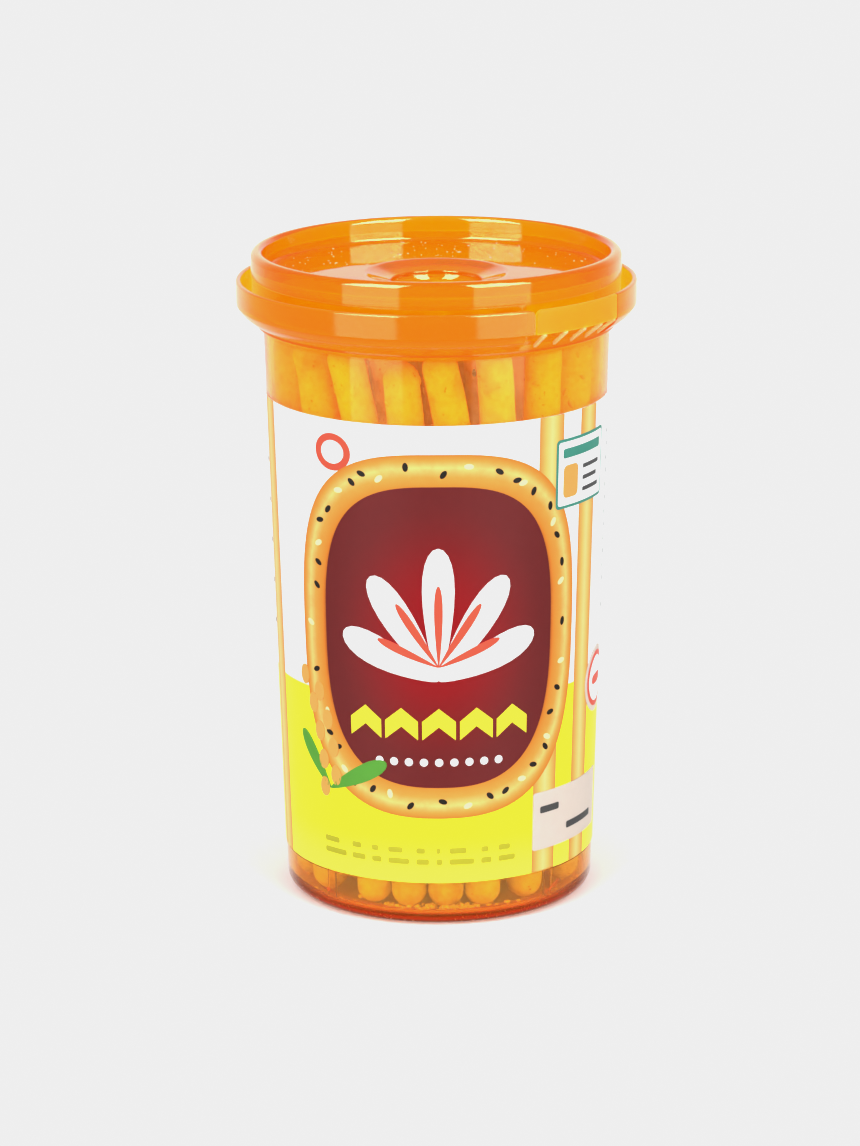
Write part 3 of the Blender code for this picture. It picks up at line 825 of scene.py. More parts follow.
def petal(centre, length, width, degrees, count=26):
    """Outline of a plump petal that starts at a point and leans by an angle from upright."""
    points = []
    for index in range(count):
        share = 2.0 * math.pi * index / count
        along = 0.5 - 0.5 * math.cos(share)
        side = math.sin(share) * (0.35 + 0.65 * along) * 0.5
        points.append((side * width, along * length))
    points.reverse()
    return turned_outline(points, centre, -degrees)


def chevron(centre, width, height, thickness):
    """Outline of an upright chevron."""
    x, y = centre
    half = width / 2.0
    return [
        (x - half, y - height / 2.0),
        (x - half, y - height / 2.0 - thickness),
        (x, y + height / 2.0 - thickness),
        (x + half, y - height / 2.0 - thickness),
        (x + half, y - height / 2.0),
        (x, y + height / 2.0),
    ]


def round_the_tub(degrees):
    """Distance along the flat label for an angle round the tub."""
    return LABEL_RADIUS * math.radians(degrees)


def wrap_flat(piece):
    """Wrap a flat piece of film or print round the tub's wall."""
    xs = [vertex.co.x for vertex in piece.data.vertices]
    slice_across(piece, 0, min(xs), max(xs), WRAP_STEP)
    for vertex in piece.data.vertices:
        x, y, lift = vertex.co
        radius = wall_radius(y) + LABEL_PROUD + lift
        vertex.co = around(math.degrees(x / LABEL_RADIUS), radius, y)
    return tidy_mesh(piece, crease=60.0)


class Ink:
    """Flat shapes of one printed colour, laid over the film in layers."""

    def __init__(self, name, material):
        self.name = name
        self.material = material
        self.slabs = []

    def lay(self, outline, layer):
        """Add a shape on a layer of the print."""
        self.slabs.append(flat_slab(outline, -INK_SINK, INK_STEP * layer))

    def wrap(self):
        """Join the shapes, wrap them and finish the piece."""
        piece = wrap_flat(join_pieces(self.name, self.slabs))
        return dress(piece, self.material)


def feed(tree, node, values):
    """Set or link sockets of a node, each given by its name or number."""
    for socket, value in values.items():
        if isinstance(value, bpy.types.NodeSocket):
            tree.links.new(value, node.inputs[socket])
        else:
            node.inputs[socket].default_value = value
    return node


def add_node(tree, kind, values=None, **settings):
    """Node with its settings made and its sockets fed."""
    node = tree.nodes.new(kind)
    for name, value in settings.items():
        setattr(node, name, value)
    return feed(tree, node, values or {})


def maths(tree, operation, first, second=0.0):
    """Result of a sum on two values or sockets."""
    return add_node(tree, "ShaderNodeMath", {0: first, 1: second}, operation=operation).outputs[0]


def fade(tree, value, low, high, bottom=0.0, top=1.0):
    """Value that goes smoothly from bottom to top as the input goes from low to high."""
    values = {"Value": value, "From Min": low, "From Max": high, "To Min": bottom, "To Max": top}
    return add_node(tree, "ShaderNodeMapRange", values, interpolation_type="SMOOTHSTEP").outputs[0]


def blend_colours(tree, share, first, second, blend="MIX"):
    """Mix of two colours."""
    node = add_node(tree, "ShaderNodeMix", None, data_type="RGBA", blend_type=blend)
    return feed(tree, node, {0: share, 6: first, 7: second}).outputs[2]


def colour_ramp(tree, value, stops):
    """Colour along a ramp of (place, colour) stops."""
    node = add_node(tree, "ShaderNodeValToRGB", {0: value})
    elements = node.color_ramp.elements
    while len(elements) < len(stops):
        elements.new(0.5)
    for element, (place, paint) in zip(elements, stops):
        element.position = place
        element.color = opaque(paint)
    return node.outputs[0]


def noise(tree, place, scale, detail=2.0, roughness=0.5):
    """Noise from 0 to 1, with so many lumps to the metre."""
    values = {"Vector": place, "Scale": scale, "Detail": detail, "Roughness": roughness}
    return add_node(tree, "ShaderNodeTexNoise", values).outputs[0]


def opaque(paint):
    """Colour with full alpha."""
    return (*paint, 1.0)


def own_place(tree):
    """Object coordinates, in metres, of the piece itself."""
    return tree.nodes.new("ShaderNodeTexCoord").outputs["Object"]


def node_group(name, inputs, outputs):
    """Empty node group with named inputs (name, type, default) and outputs (name, type)."""
    group = bpy.data.node_groups.new(name, "ShaderNodeTree")
    for label, kind, default in inputs:
        socket = group.interface.new_socket(name=label, in_out="INPUT", socket_type=kind)
        socket.default_value = default
    for label, kind in outputs:
        group.interface.new_socket(name=label, in_out="OUTPUT", socket_type=kind)
    return group, group.nodes.new("NodeGroupInput").outputs, group.nodes.new("NodeGroupOutput").inputs


def use_group(tree, name, values=None):
    """Outputs of a node group placed in a material."""
    node = add_node(tree, "ShaderNodeGroup", None, node_tree=bpy.data.node_groups[name])
    return feed(tree, node, values or {}).outputs


def raised(tree, height, strength, distance):
    """Normal of a surface that is raised by a height."""
    values = {"Strength": strength, "Distance": distance, "Height": height}
    return add_node(tree, "ShaderNodeBump", values).outputs["Normal"]


def label_place_group():
    """Place on the tub: angle round it in degrees, then height and distance from its axis in millimetres."""
    group, _, result = node_group("label_place", (), (
        ("Angle", "NodeSocketFloat"), ("Height", "NodeSocketFloat"), ("Radius", "NodeSocketFloat"),
    ))
    parts = add_node(group, "ShaderNodeSeparateXYZ", {0: own_place(group)}).outputs
    front = maths(group, "MULTIPLY", parts["Y"], -1.0)
    angle = maths(group, "ARCTAN2", parts["X"], front)
    group.links.new(maths(group, "DEGREES", angle), result["Angle"])
    group.links.new(maths(group, "DIVIDE", parts["Z"], MM), result["Height"])
    squares = maths(group, "ADD", maths(group, "POWER", parts["X"], 2.0), maths(group, "POWER", front, 2.0))
    away = maths(group, "DIVIDE", maths(group, "SQRT", squares), MM)
    group.links.new(away, result["Radius"])


def moulded_surface_group():
    """Moulded plastic: long shallow waves, fine haze and scattered scuffs."""
    group, given, result = node_group(
        "moulded_surface",
        (("Gloss", "NodeSocketFloat", 0.05), ("Waviness", "NodeSocketFloat", 0.2)),
        (("Roughness", "NodeSocketFloat"), ("Normal", "NodeSocketVector")),
    )
    place = own_place(group)
    waves = noise(group, place, scale=90.0, detail=1.0)
    scuffs = noise(group, place, scale=900.0, detail=3.0, roughness=0.7)
    scuffs = fade(group, scuffs, 0.60, 0.72, top=0.10)
    group.links.new(maths(group, "ADD", given["Gloss"], scuffs), result["Roughness"])
    group.links.new(raised(group, waves, given["Waviness"], 0.5 * MM), result["Normal"])


def printed_surface_group():
    """Printed film: a colour with faint mottling, a soft sheen that varies, and a fine film grain."""
    group, given, result = node_group(
        "printed_surface",
        (("Colour", "NodeSocketColor", (0.8, 0.8, 0.8, 1.0)), ("Gloss", "NodeSocketFloat", 0.34)),
        (("Colour", "NodeSocketColor"), ("Roughness", "NodeSocketFloat"), ("Normal", "NodeSocketVector")),
    )
    place = own_place(group)
    mottle = fade(group, noise(group, place, scale=420.0, detail=3.0), 0.3, 0.7, bottom=0.975)
    shade = add_node(group, "ShaderNodeCombineColor", {0: mottle, 1: mottle, 2: mottle}).outputs[0]
    group.links.new(blend_colours(group, 1.0, given["Colour"], shade, "MULTIPLY"), result["Colour"])
    sheen = maths(group, "MULTIPLY", noise(group, place, scale=150.0), 0.12)
    group.links.new(maths(group, "ADD", given["Gloss"], sheen), result["Roughness"])
    grain = noise(group, place, scale=2600.0)
    group.links.new(raised(group, grain, 0.06, 0.1 * MM), result["Normal"])


def baked_surface_group():
    """Baked dough: pale gold with browned patches, darker where browned or painted with shade, and a fine
    dry grain.
    """
    group, given, result = node_group(
        "baked_surface",
        (
            ("Dough", "NodeSocketColor", (0.8, 0.6, 0.3, 1.0)),
            ("Crust", "NodeSocketColor", (0.5, 0.2, 0.1, 1.0)),
            ("Brown_and_shade", "NodeSocketFloat", 0.0),
        ),
        (("Colour", "NodeSocketColor"), ("Roughness", "NodeSocketFloat"), ("Normal", "NodeSocketVector")),
    )
    place = own_place(group)
    patches = noise(group, place, scale=110.0, detail=3.0, roughness=0.55)
    patches = fade(group, patches, 0.50, 0.78, top=0.40)
    mottle = noise(group, place, scale=520.0, detail=3.0, roughness=0.6)
    mottle = fade(group, mottle, 0.35, 0.75, top=0.16)
    specks = noise(group, place, scale=1500.0, detail=1.0)
    specks = fade(group, specks, 0.70, 0.76, top=0.5)
    brown = maths(group, "ADD", maths(group, "ADD", patches, mottle), given["Brown_and_shade"])
    brown = maths(group, "MINIMUM", maths(group, "ADD", brown, specks), 1.0)
    group.links.new(blend_colours(group, brown, given["Dough"], given["Crust"]), result["Colour"])
    group.links.new(fade(group, brown, 0.0, 1.0, 0.72, 0.55), result["Roughness"])
    fine = noise(group, place, scale=700.0, detail=4.0, roughness=0.65)
    grain = maths(group, "ADD", fine, noise(group, place, scale=260.0))
    group.links.new(raised(group, grain, 0.5, 0.35 * MM), result["Normal"])


def make_groups():
    """Build each shared node group once."""
    label_place_group()
    moulded_surface_group()
    printed_surface_group()
    baked_surface_group()


def new_material(name):
    """Empty node material and its output."""
    material = bpy.data.materials.new(name)
    material.use_nodes = True
    tree = material.node_tree
    tree.nodes.clear()
    return material, tree, tree.nodes.new("ShaderNodeOutputMaterial")


def principled(tree, output, values):
    """Give a material a plain Principled surface."""
    body = add_node(tree, "ShaderNodeBsdfPrincipled", values)
    tree.links.new(body.outputs[0], output.inputs["Surface"])


def clear_plastic(tree, output, tint, solidity, look):
    """Tinted clear plastic: it darkens with depth, and light from the lamps passes straight through.

    Solidity is the share of light that it scatters back as a solid colour.
    """
    # The body's emission is painted glow that stands in for light the plastic scatters; it is no lamp
    body = add_node(tree, "ShaderNodeBsdfPrincipled", {
        "IOR": PLASTIC_IOR, "Transmission Weight": 1.0 - solidity, "Emission Strength": 1.0,
        "Specular Tint": opaque(bpy.context.scene.snack_finish.plastic_sheen), **look,
    })
    shade = add_node(tree, "ShaderNodeBsdfTransparent", {"Color": PLASTIC_SHADE})
    is_shadow = tree.nodes.new("ShaderNodeLightPath").outputs["Is Shadow Ray"]
    mix = add_node(tree, "ShaderNodeMixShader", {0: is_shadow, 1: body.outputs[0], 2: shade.outputs[0]})
    tree.links.new(mix.outputs[0], output.inputs["Surface"])
    losses = [-math.log(channel) / MM for channel in tint]
    density = max(losses) * ABSORPTION_ROOM
    depth = add_node(tree, "ShaderNodeVolumeAbsorption", {
        "Density": density, "Color": opaque([1.0 - loss / density for loss in losses]),
    })
    tree.links.new(depth.outputs[0], output.inputs["Volume"])


def edge_on(tree, region):
    """Mask over a region that rises to one where the surface is seen edge-on, for the painted edge-on sheen.
    """
    facing = tree.nodes.new("ShaderNodeLayerWeight").outputs["Facing"]
    return maths(tree, "MULTIPLY", region, fade(tree, facing, *EDGE_BLEND))


def tab_mask(tree, place):
    """Mask of the tear tab."""
    tub = bpy.context.scene.snack_tub
    after = maths(tree, "GREATER_THAN", place["Angle"], tub.tab_start)
    before = maths(tree, "LESS_THAN", place["Angle"], tub.tab_end)
    above = maths(tree, "GREATER_THAN", place["Height"], TAB_FOOT / MM - 0.3)
    return maths(tree, "MULTIPLY", maths(tree, "MULTIPLY", after, before), above)


def tub_plastic():
    """The tub's plastic: clear on the wall, deeper in ring and foot, matt on the tear tab, with a painted
    glow.
    """
    finish = bpy.context.scene.snack_finish
    material, tree, output = new_material("amber_plastic_tub")
    surface = use_group(tree, "moulded_surface", {"Gloss": 0.04, "Waviness": 0.10})
    place = use_group(tree, "label_place")
    ring = fade(tree, place["Height"], *RING_BLEND)
    tab = tab_mask(tree, place)
    foot = fade(tree, place["Height"], *FOOT_BLEND, 1.0, 0.0)
    foot = maths(tree, "MULTIPLY", foot, fade(tree, place["Radius"], *HEEL_BLEND))
    body = opaque(finish.plastic_body)
    roughness = surface["Roughness"]
    for mask, paint, haze in (
        (ring, finish.ring_body, RING_HAZE),
        (tab, finish.tab_body, TAB_HAZE),
        (foot, finish.foot_body, FOOT_HAZE),
    ):
        body = blend_colours(tree, mask, body, opaque(paint))
        roughness = maths(tree, "ADD", roughness, maths(tree, "MULTIPLY", mask, haze))
    # Painted glow on the wall, ring and foot, and a painted sheen where the ring's face is seen edge-on
    high = fade(tree, place["Height"], *GLOW_BLEND)
    edge = edge_on(tree, fade(tree, place["Radius"], *RING_FACE_BLEND))
    glow = opaque(finish.base_glow)
    for mask, light in (
        (high, finish.wall_glow),
        (ring, finish.ring_glow),
        (edge, finish.edge_glow),
        (foot, finish.foot_glow),
    ):
        glow = blend_colours(tree, mask, glow, opaque(light))
    clear_plastic(tree, output, finish.tub_tint, TUB_SOLIDITY, {
        "Base Color": body, "Roughness": roughness, "Normal": surface["Normal"], "Emission Color": glow,
    })
    return material


def bridge_plastic():
    """The thin bars below the tab, pale and matt: the pale colour is a painted highlight for the light they
    catch.
    """
    material, tree, output = new_material("amber_plastic_bars")
    surface = use_group(tree, "moulded_surface", {"Gloss": 0.4, "Waviness": 0.1})
    principled(tree, output, {
        "Base Color": opaque(bpy.context.scene.snack_finish.bridge_highlight_paint),
        "Roughness": surface["Roughness"], "Normal": surface["Normal"],
    })
    return material


def lid_plastic():
    """The lid's plastic, with a faint painted glow, and paler round its rim where seen edge-on: a painted
    sheen.
    """
    finish = bpy.context.scene.snack_finish
    material, tree, output = new_material("amber_plastic_lid")
    surface = use_group(tree, "moulded_surface", {"Gloss": 0.03, "Waviness": 0.10})
    rim = fade(tree, use_group(tree, "label_place")["Radius"], *RIM_BLEND)
    glow = blend_colours(tree, edge_on(tree, rim), opaque(finish.lid_glow), opaque(finish.edge_glow))
    clear_plastic(tree, output, finish.lid_tint, LID_SOLIDITY, {
        "Base Color": opaque(finish.lid_body), "Roughness": surface["Roughness"],
        "Normal": surface["Normal"], "Emission Color": glow,
    })
    return material


def finish_print(tree, output, paint, gloss=INK_GLOSS, glow=None):
    """Printed film's surface for a colour, with any painted glow that stands in for light shining through
    it.
    """
    surface = use_group(tree, "printed_surface", {"Colour": paint, "Gloss": gloss})
    principled(tree, output, {
        "Base Color": surface["Colour"], "Roughness": surface["Roughness"],
        "Normal": surface["Normal"], "Specular IOR Level": FILM_SPECULAR, **(glow or {}),
    })


def plain_ink(name, paint):
    """One printed colour."""
    material, tree, output = new_material(name)
    finish_print(tree, output, opaque(paint))
    return material


def film_material():
    """The label's film: white above, yellow-green below a level edge, its inner face a painted glow of
    daylight.
    """
    finish = bpy.context.scene.snack_finish
    material, tree, output = new_material("label_film")
    height = use_group(tree, "label_place")["Height"]
    foot = fade(tree, height, *FILM_FOOT_BLEND)
    yellow = blend_colours(tree, foot, opaque(finish.film_pale), opaque(finish.film_yellow))
    edge = fade(tree, height, *FILM_EDGE_BLEND)
    paint = blend_colours(tree, edge, yellow, opaque(finish.film_white))
    # Painted glow: only the film's inner face emits, standing in for daylight let through the film
    facing = tree.nodes.new("ShaderNodeNewGeometry").outputs["True Normal"]
    place = add_node(tree, "ShaderNodeVectorMath", {0: own_place(tree)}, operation="NORMALIZE").outputs[0]
    outwards = add_node(tree, "ShaderNodeVectorMath", {0: facing, 1: place}, operation="DOT_PRODUCT")
    inside = maths(tree, "LESS_THAN", outwards.outputs["Value"], 0.0)
    light = blend_colours(tree, inside, BLACK, opaque(finish.film_light))
    finish_print(tree, output, paint, FILM_GLOSS, {
        "Emission Color": light, "Emission Strength": finish.film_glow,
    })
    return material


def panel_distance(tree, half_width, half_height, power):
    """Distance from the middle of the label's panel, front or back: 1 on an oval of these half sizes."""
    place = use_group(tree, "label_place")
    folded = maths(tree, "PINGPONG", maths(tree, "ABSOLUTE", place["Angle"]), 90.0)
    across = maths(tree, "MULTIPLY", folded, round_the_tub(1.0) / half_width)
    up = maths(tree, "SUBTRACT", place["Height"], PANEL_CENTRE / MM)
    up = maths(tree, "DIVIDE", maths(tree, "ABSOLUTE", up), half_height / MM)
    total = maths(tree, "ADD", maths(tree, "POWER", across, power), maths(tree, "POWER", up, power))
    return maths(tree, "POWER", total, 1.0 / power)


def border_ink():
    """The panel's golden border, rounded by its shading: amber at its edges and pale along its crest."""
    material, tree, output = new_material("ink_golden_border")
    distance = panel_distance(tree, PANEL_HALF_WIDTH, PANEL_HALF_HEIGHT, PANEL_POWER)
    across = fade(tree, distance, BORDER_INNER_EDGE, 1.0)
    across.node.interpolation_type = "LINEAR"
    paint = colour_ramp(tree, across, BORDER_SHADES)
    streaks = fade(tree, noise(tree, own_place(tree), scale=300.0, detail=4.0, roughness=0.6), 0.35, 0.7)
    paint = blend_colours(tree, maths(tree, "MULTIPLY", streaks, 0.3), paint, BORDER_STREAK)
    finish_print(tree, output, paint)
    return material


def panel_ink():
    """The panel's deep red with a soft glow in its middle."""
    finish = bpy.context.scene.snack_finish
    material, tree, output = new_material("ink_panel_red")
    distance = panel_distance(tree, PANEL_HALF_WIDTH - BORDER, PANEL_HALF_HEIGHT - BORDER, 2.0)
    middle = fade(tree, distance, *PANEL_GLOW_BLEND, 1.0, 0.0)
    finish_print(tree, output, blend_colours(
        tree, middle, opaque(finish.panel_dark), opaque(finish.panel_bright),
    ))
    return material


def stripe_ink():
    """Golden stripes that run up the label, each shaded across as a round bar."""
    material, tree, output = new_material("ink_golden_stripes")
    angle = use_group(tree, "label_place")["Angle"]
    nearest = STRIPE_HALF
    for middle in STRIPES:
        away = maths(tree, "ABSOLUTE", maths(tree, "SUBTRACT", angle, middle))
        nearest = maths(tree, "MINIMUM", away, nearest)
    finish_print(tree, output, colour_ramp(tree, maths(tree, "DIVIDE", nearest, STRIPE_HALF), STRIPE_SHADES))
    return material


def biscuit_material(name, dough, crust, browned_and_shaded=False):
    """Baked dough, browner at a stick's ends and at random on some sticks; painted shade darkens the inner
    sticks.
    """
    material, tree, output = new_material(name)
    browning_and_shade = 0.0
    if browned_and_shaded:
        along = add_node(tree, "ShaderNodeAttribute", None, attribute_name="along").outputs["Fac"]
        tone_and_shade = add_node(tree, "ShaderNodeAttribute", None, attribute_name="tone_and_shade").outputs["Fac"]
        ends = maths(tree, "ADD", fade(tree, along, *BROWNED_TIP), fade(tree, along, *BROWNED_FOOT))
        browning_and_shade = maths(tree, "ADD", maths(tree, "MULTIPLY", ends, END_BROWNING), tone_and_shade)
    surface = use_group(tree, "baked_surface", {
        "Dough": opaque(dough), "Crust": opaque(crust), "Brown_and_shade": browning_and_shade,
    })
    principled(tree, output, {
        "Base Color": surface["Colour"], "Roughness": surface["Roughness"],
        "Normal": surface["Normal"], "Specular IOR Level": 0.3,
    })
    return material


def stick_ring(height):
    """Radius at which the outermost sticks' centres stand at a height, just inside the wall."""
    tub = bpy.context.scene.snack_tub
    return wall_radius(height) - tub.wall - WALL_GAP - bpy.context.scene.snack_sticks.radius


def stick_centre(stick, height):
    """Centre line of a stick: it follows the wall's taper, drifts round the tub and curls near its tip."""
    rise = (height - STICK_FOOT) / (stick.tip - STICK_FOOT)
    bend = max(0.0, (height - CURL_START) / (CURL_END - CURL_START))
    angle = stick.angle + stick.drift * rise + stick.curl * bend * bend
    return around(angle, stick_ring(height) * stick.share, height)


def up_stick(stick, share):
    """Height at a share of a stick's length."""
    return STICK_FOOT + (stick.tip - STICK_FOOT) * share


def stick_layout():
    """Every stick: those at the front, those behind them and the inner rings."""
    chance = random.Random(RANDOM_SEED)
    layout = [Stick(*stick, 1.0) for stick in FRONT_STICKS]
    for index in range(BACK_STICK_COUNT):
        angle = BACK_START + (BACK_END - BACK_START) * index / (BACK_STICK_COUNT - 1)
        angle += chance.uniform(-1.2, 1.2)
        drift = BACK_DRIFT * math.sin(math.radians(3.0 * angle))
        curl = -BACK_CURL + BACK_CURL * math.cos(math.radians(2.0 * angle))
        layout.append(Stick(angle, drift, curl, chance.uniform(*TIP_RANGE), 1.0))
    for count, share in INNER_RINGS:
        for index in range(count):
            angle = 360.0 * index / count + chance.uniform(-3.0, 3.0)
            layout.append(Stick(angle, INNER_DRIFT, INNER_CURL, chance.uniform(*TIP_RANGE), share))
    return layout


def straight_stick(length):
    """One straight stick with rounded ends, ringed so that it can bend, with its place along it stored."""
    radius = bpy.context.scene.snack_sticks.radius
    rings = round(length / STICK_RING_STEP)
    shaft = length - 2.0 * radius
    outline = arc((0.0, radius), radius, -90.0, 0.0, 7)
    outline += [(radius, radius + shaft * ring / rings) for ring in range(1, rings)]
    outline += arc((0.0, length - radius), radius, 0.0, 90.0, 7)
    outline[0] = (0.0, 0.0)
    outline[-1] = (0.0, length)
    stick = tidy_mesh(turned_piece("straight_stick", outline, STICK_STEPS), crease=60.0)
    along = stick.data.attributes.new("along", "FLOAT", "POINT")
    for vertex, value in zip(stick.data.vertices, along.data):
        value.value = vertex.co.z / length
    return stick


def guide_curve(stick, chance):
    """Smooth line up the middle of a stick, with its uneven thickness as the points' radius."""
    curve = bpy.data.curves.new("guide", "CURVE")
    curve.dimensions = "3D"
    curve.twist_mode = "MINIMUM"
    curve.resolution_u = 6
    spline = curve.splines.new("NURBS")
    spline.points.add(GUIDE_POINTS - 1)
    for index, point in enumerate(spline.points):
        height = up_stick(stick, index / (GUIDE_POINTS - 1))
        point.co = (*stick_centre(stick, height), 1.0)
        point.radius = chance.uniform(*THICKNESS_RANGE)
    spline.order_u = 4
    spline.use_endpoint_u = True
    guide = bpy.data.objects.new("guide", curve)
    bpy.context.scene.collection.objects.link(guide)
    return guide


def scattered(name, model, places):
    """Copies of a small model, each with its own mesh and place, joined to one piece."""
    copies = []
    for place in places:
        copy = bpy.data.objects.new(name, model.data.copy())
        copy.data.transform(place)
        bpy.context.scene.collection.objects.link(copy)
        copies.append(copy)
    bpy.data.objects.remove(model)
    return join_pieces(name, copies)


def seed_model():
    """One sesame seed lying on its flat side: a ball squashed and drawn out to a blunt point."""
    start_clean()
    bpy.ops.mesh.primitive_uv_sphere_add(segments=10, ring_count=7, radius=1.0)
    bpy.ops.object.mode_set(mode="EDIT")
    bpy.ops.transform.resize(value=(SEED_WIDTH / 2.0, SEED_LENGTH / 2.0, SEED_DEPTH / 2.0))
    bpy.ops.object.mode_set(mode="OBJECT")
    seed = bpy.context.object
    for vertex in seed.data.vertices:
        narrowing = 1.0 - SEED_NARROWING * max(0.0, 2.0 * vertex.co.y / SEED_LENGTH)
        vertex.co.x *= narrowing
        vertex.co.z *= narrowing
    return tidy_mesh(seed, crease=80.0)


def crumb_model(chance):
    """One jagged crumb: a coarse ball with its corners pulled about."""
    start_clean()
    bpy.ops.mesh.primitive_ico_sphere_add(subdivisions=2, radius=0.5)
    crumb = bpy.context.object
    for vertex in crumb.data.vertices:
        vertex.co *= chance.uniform(*CRUMB_JAGS)
    return tidy_mesh(crumb, crease=25.0)


class SNACK_OT_stage(Operator):
    """Add the pale floor, the room with its softboxes and lamps, and the camera."""

    bl_idname = "snack.stage"
    bl_label = "Stage"

    def add_floor(self):
        """Wide sheet of pale paper that the tub stands on."""
        stage = bpy.context.scene.snack_stage
        start_clean()
        bpy.ops.mesh.primitive_grid_add(x_subdivisions=8, y_subdivisions=8, size=stage.floor_size)
        floor = bpy.context.object
        floor.name = "floor"
        material, tree, output = new_material("floor_paper")
        grain = noise(tree, own_place(tree), scale=900.0)
        principled(tree, output, {
            "Base Color": FLOOR_PAPER, "Roughness": 0.9, "Specular IOR Level": 0.1,
            "Normal": raised(tree, grain, 0.03, MM),
        })
        floor.data.materials.append(material)
        floor.visible_glossy = False

    def add_lamps(self):
        """Soft lamp in the middle of each softbox."""
        stage = bpy.context.scene.snack_stage
        for name, azimuth in (("lamp_left", -SOFTBOX_AZIMUTH), ("lamp_right", SOFTBOX_AZIMUTH)):
            start_clean()
            bpy.ops.object.light_add(type="SUN")
            lamp = bpy.context.object
            lamp.name = name
            level = math.radians(SOFTBOX_ELEVATION)
            lamp.location = around(azimuth, math.cos(level), math.sin(level))
            lamp.rotation_euler = lamp.location.to_track_quat("Z", "Y").to_euler()
            lamp.data.angle = math.radians(LAMP_ANGLE)
            lamp.data.energy = stage.lamp_strength

    def between(self, tree, value, low, high):
        """Mask that is one between two directions, with a soft edge at both."""
        above = fade(tree, value, low - SOFTBOX_EDGE, low + SOFTBOX_EDGE)
        below = fade(tree, value, high - SOFTBOX_EDGE, high + SOFTBOX_EDGE, 1.0, 0.0)
        return maths(tree, "MULTIPLY", above, below)

    def window(self, tree, azimuth, elevation, low, high):
        """Mask of the pair of softboxes, or of the low cards, by direction in degrees."""
        half = SOFTBOX_WIDTH / 2.0
        across = self.between(tree, azimuth, SOFTBOX_AZIMUTH - half, SOFTBOX_AZIMUTH + half)
        return maths(tree, "MULTIPLY", across, self.between(tree, elevation, low, high))

    def add_room(self):
        """Pale room with two softboxes and, below them, the cards that the upright walls mirror."""
        stage = bpy.context.scene.snack_stage
        world = bpy.data.worlds.new("room")
        world.use_nodes = True
        bpy.context.scene.world = world
        tree = world.node_tree
        tree.nodes.clear()
        direction = tree.nodes.new("ShaderNodeTexCoord").outputs["Generated"]
        parts = add_node(tree, "ShaderNodeSeparateXYZ", {0: direction}).outputs
        front = maths(tree, "MULTIPLY", parts["Y"], -1.0)
        azimuth = maths(tree, "ABSOLUTE", maths(tree, "ARCTAN2", parts["X"], front))
        azimuth = maths(tree, "DEGREES", azimuth)
        elevation = maths(tree, "DEGREES", maths(tree, "ARCSINE", parts["Z"]))
        softboxes = self.window(tree, azimuth, elevation, SOFTBOX_FOOT, SOFTBOX_TOP)
        cards = self.window(tree, azimuth, elevation, CARD_FOOT, SOFTBOX_FOOT)
        behind = fade(tree, parts["Y"], *BACKDROP_START)
        low = fade(tree, parts["Z"], *BACKDROP_TOP, 1.0, 0.0)
        path = tree.nodes.new("ShaderNodeLightPath").outputs
        mirrored = maths(tree, "MULTIPLY", path["Is Glossy Ray"], path["Is Reflection Ray"])
        above = fade(tree, parts["Z"], *HORIZON)
        room = fade(tree, maths(tree, "MULTIPLY", behind, low), 0.0, 1.0, stage.sky, stage.backdrop)
        far = fade(tree, parts["Y"], *MIRRORED_START)
        wall = maths(tree, "MULTIPLY", far, fade(tree, parts["Z"], *MIRRORED_TOP, 1.0, 0.0))
        mirrored_wall = fade(tree, wall, 0.0, 1.0, stage.mirrored_front, stage.mirrored_backdrop)
        mirrored_ground = fade(tree, far, 0.0, 1.0, stage.mirrored_front, stage.mirrored_floor)
        mirrored_room = fade(tree, above, 0.0, 1.0, mirrored_ground, mirrored_wall)
        level = fade(tree, mirrored, 0.0, 1.0, room, mirrored_room)
        boost = maths(tree, "ADD", maths(tree, "MULTIPLY", mirrored, stage.mirror_boost - 1.0), 1.0)
        key = maths(tree, "MULTIPLY", boost, stage.key_radiance)
        level = maths(tree, "ADD", level, maths(tree, "MULTIPLY", softboxes, key))
        level = maths(tree, "ADD", level, maths(tree, "MULTIPLY", cards, stage.card_radiance))
        background = add_node(tree, "ShaderNodeBackground", {"Color": WHITE, "Strength": level})
        output = tree.nodes.new("ShaderNodeOutputWorld")
        tree.links.new(background.outputs[0], output.inputs["Surface"])
        world.cycles.sampling_method = "MANUAL"
        world.cycles.sample_map_resolution = 1024

    def add_camera(self):
        """Camera that looks slightly down on the tub."""
        start_clean()
        bpy.ops.object.camera_add()
        camera = bpy.context.object
        camera.name = "camera"
        camera.data.sensor_width = SENSOR
        camera.data.lens = FOCAL_PIXELS / PICTURE_HEIGHT * SENSOR
        camera.data.clip_start = 0.01
        camera.data.clip_end = 50.0
        pitch = Matrix.Rotation(math.radians(90.0) - CAMERA_PITCH, 4, "X")
        roll = Matrix.Rotation(CAMERA_ROLL, 4, "Z")
        camera.matrix_world = Matrix.Translation(CAMERA_PLACE) @ pitch @ roll
        bpy.context.scene.camera = camera

    def set_picture(self):
        """Plain colours with white held at its level, and light that passes through many walls."""
        scene = bpy.context.scene
        view = scene.view_settings
        view.view_transform = "Standard"
        view.look = "None"
        view.use_curve_mapping = True
        view.curve_mapping.extend = "HORIZONTAL"
        view.curve_mapping.curves[3].points[1].location = (1.0, scene.snack_stage.white_level)
        view.curve_mapping.update()
        scene.cycles.max_bounces = WALL_BOUNCES
        scene.cycles.transmission_bounces = WALL_BOUNCES
        scene.cycles.transparent_max_bounces = 2 * WALL_BOUNCES
        scene.cycles.diffuse_bounces = DIFFUSE_BOUNCES

    def execute(self, context):
        self.add_floor()
        self.add_lamps()
        self.add_room()
        self.add_camera()
        self.set_picture()
        return {"FINISHED"}


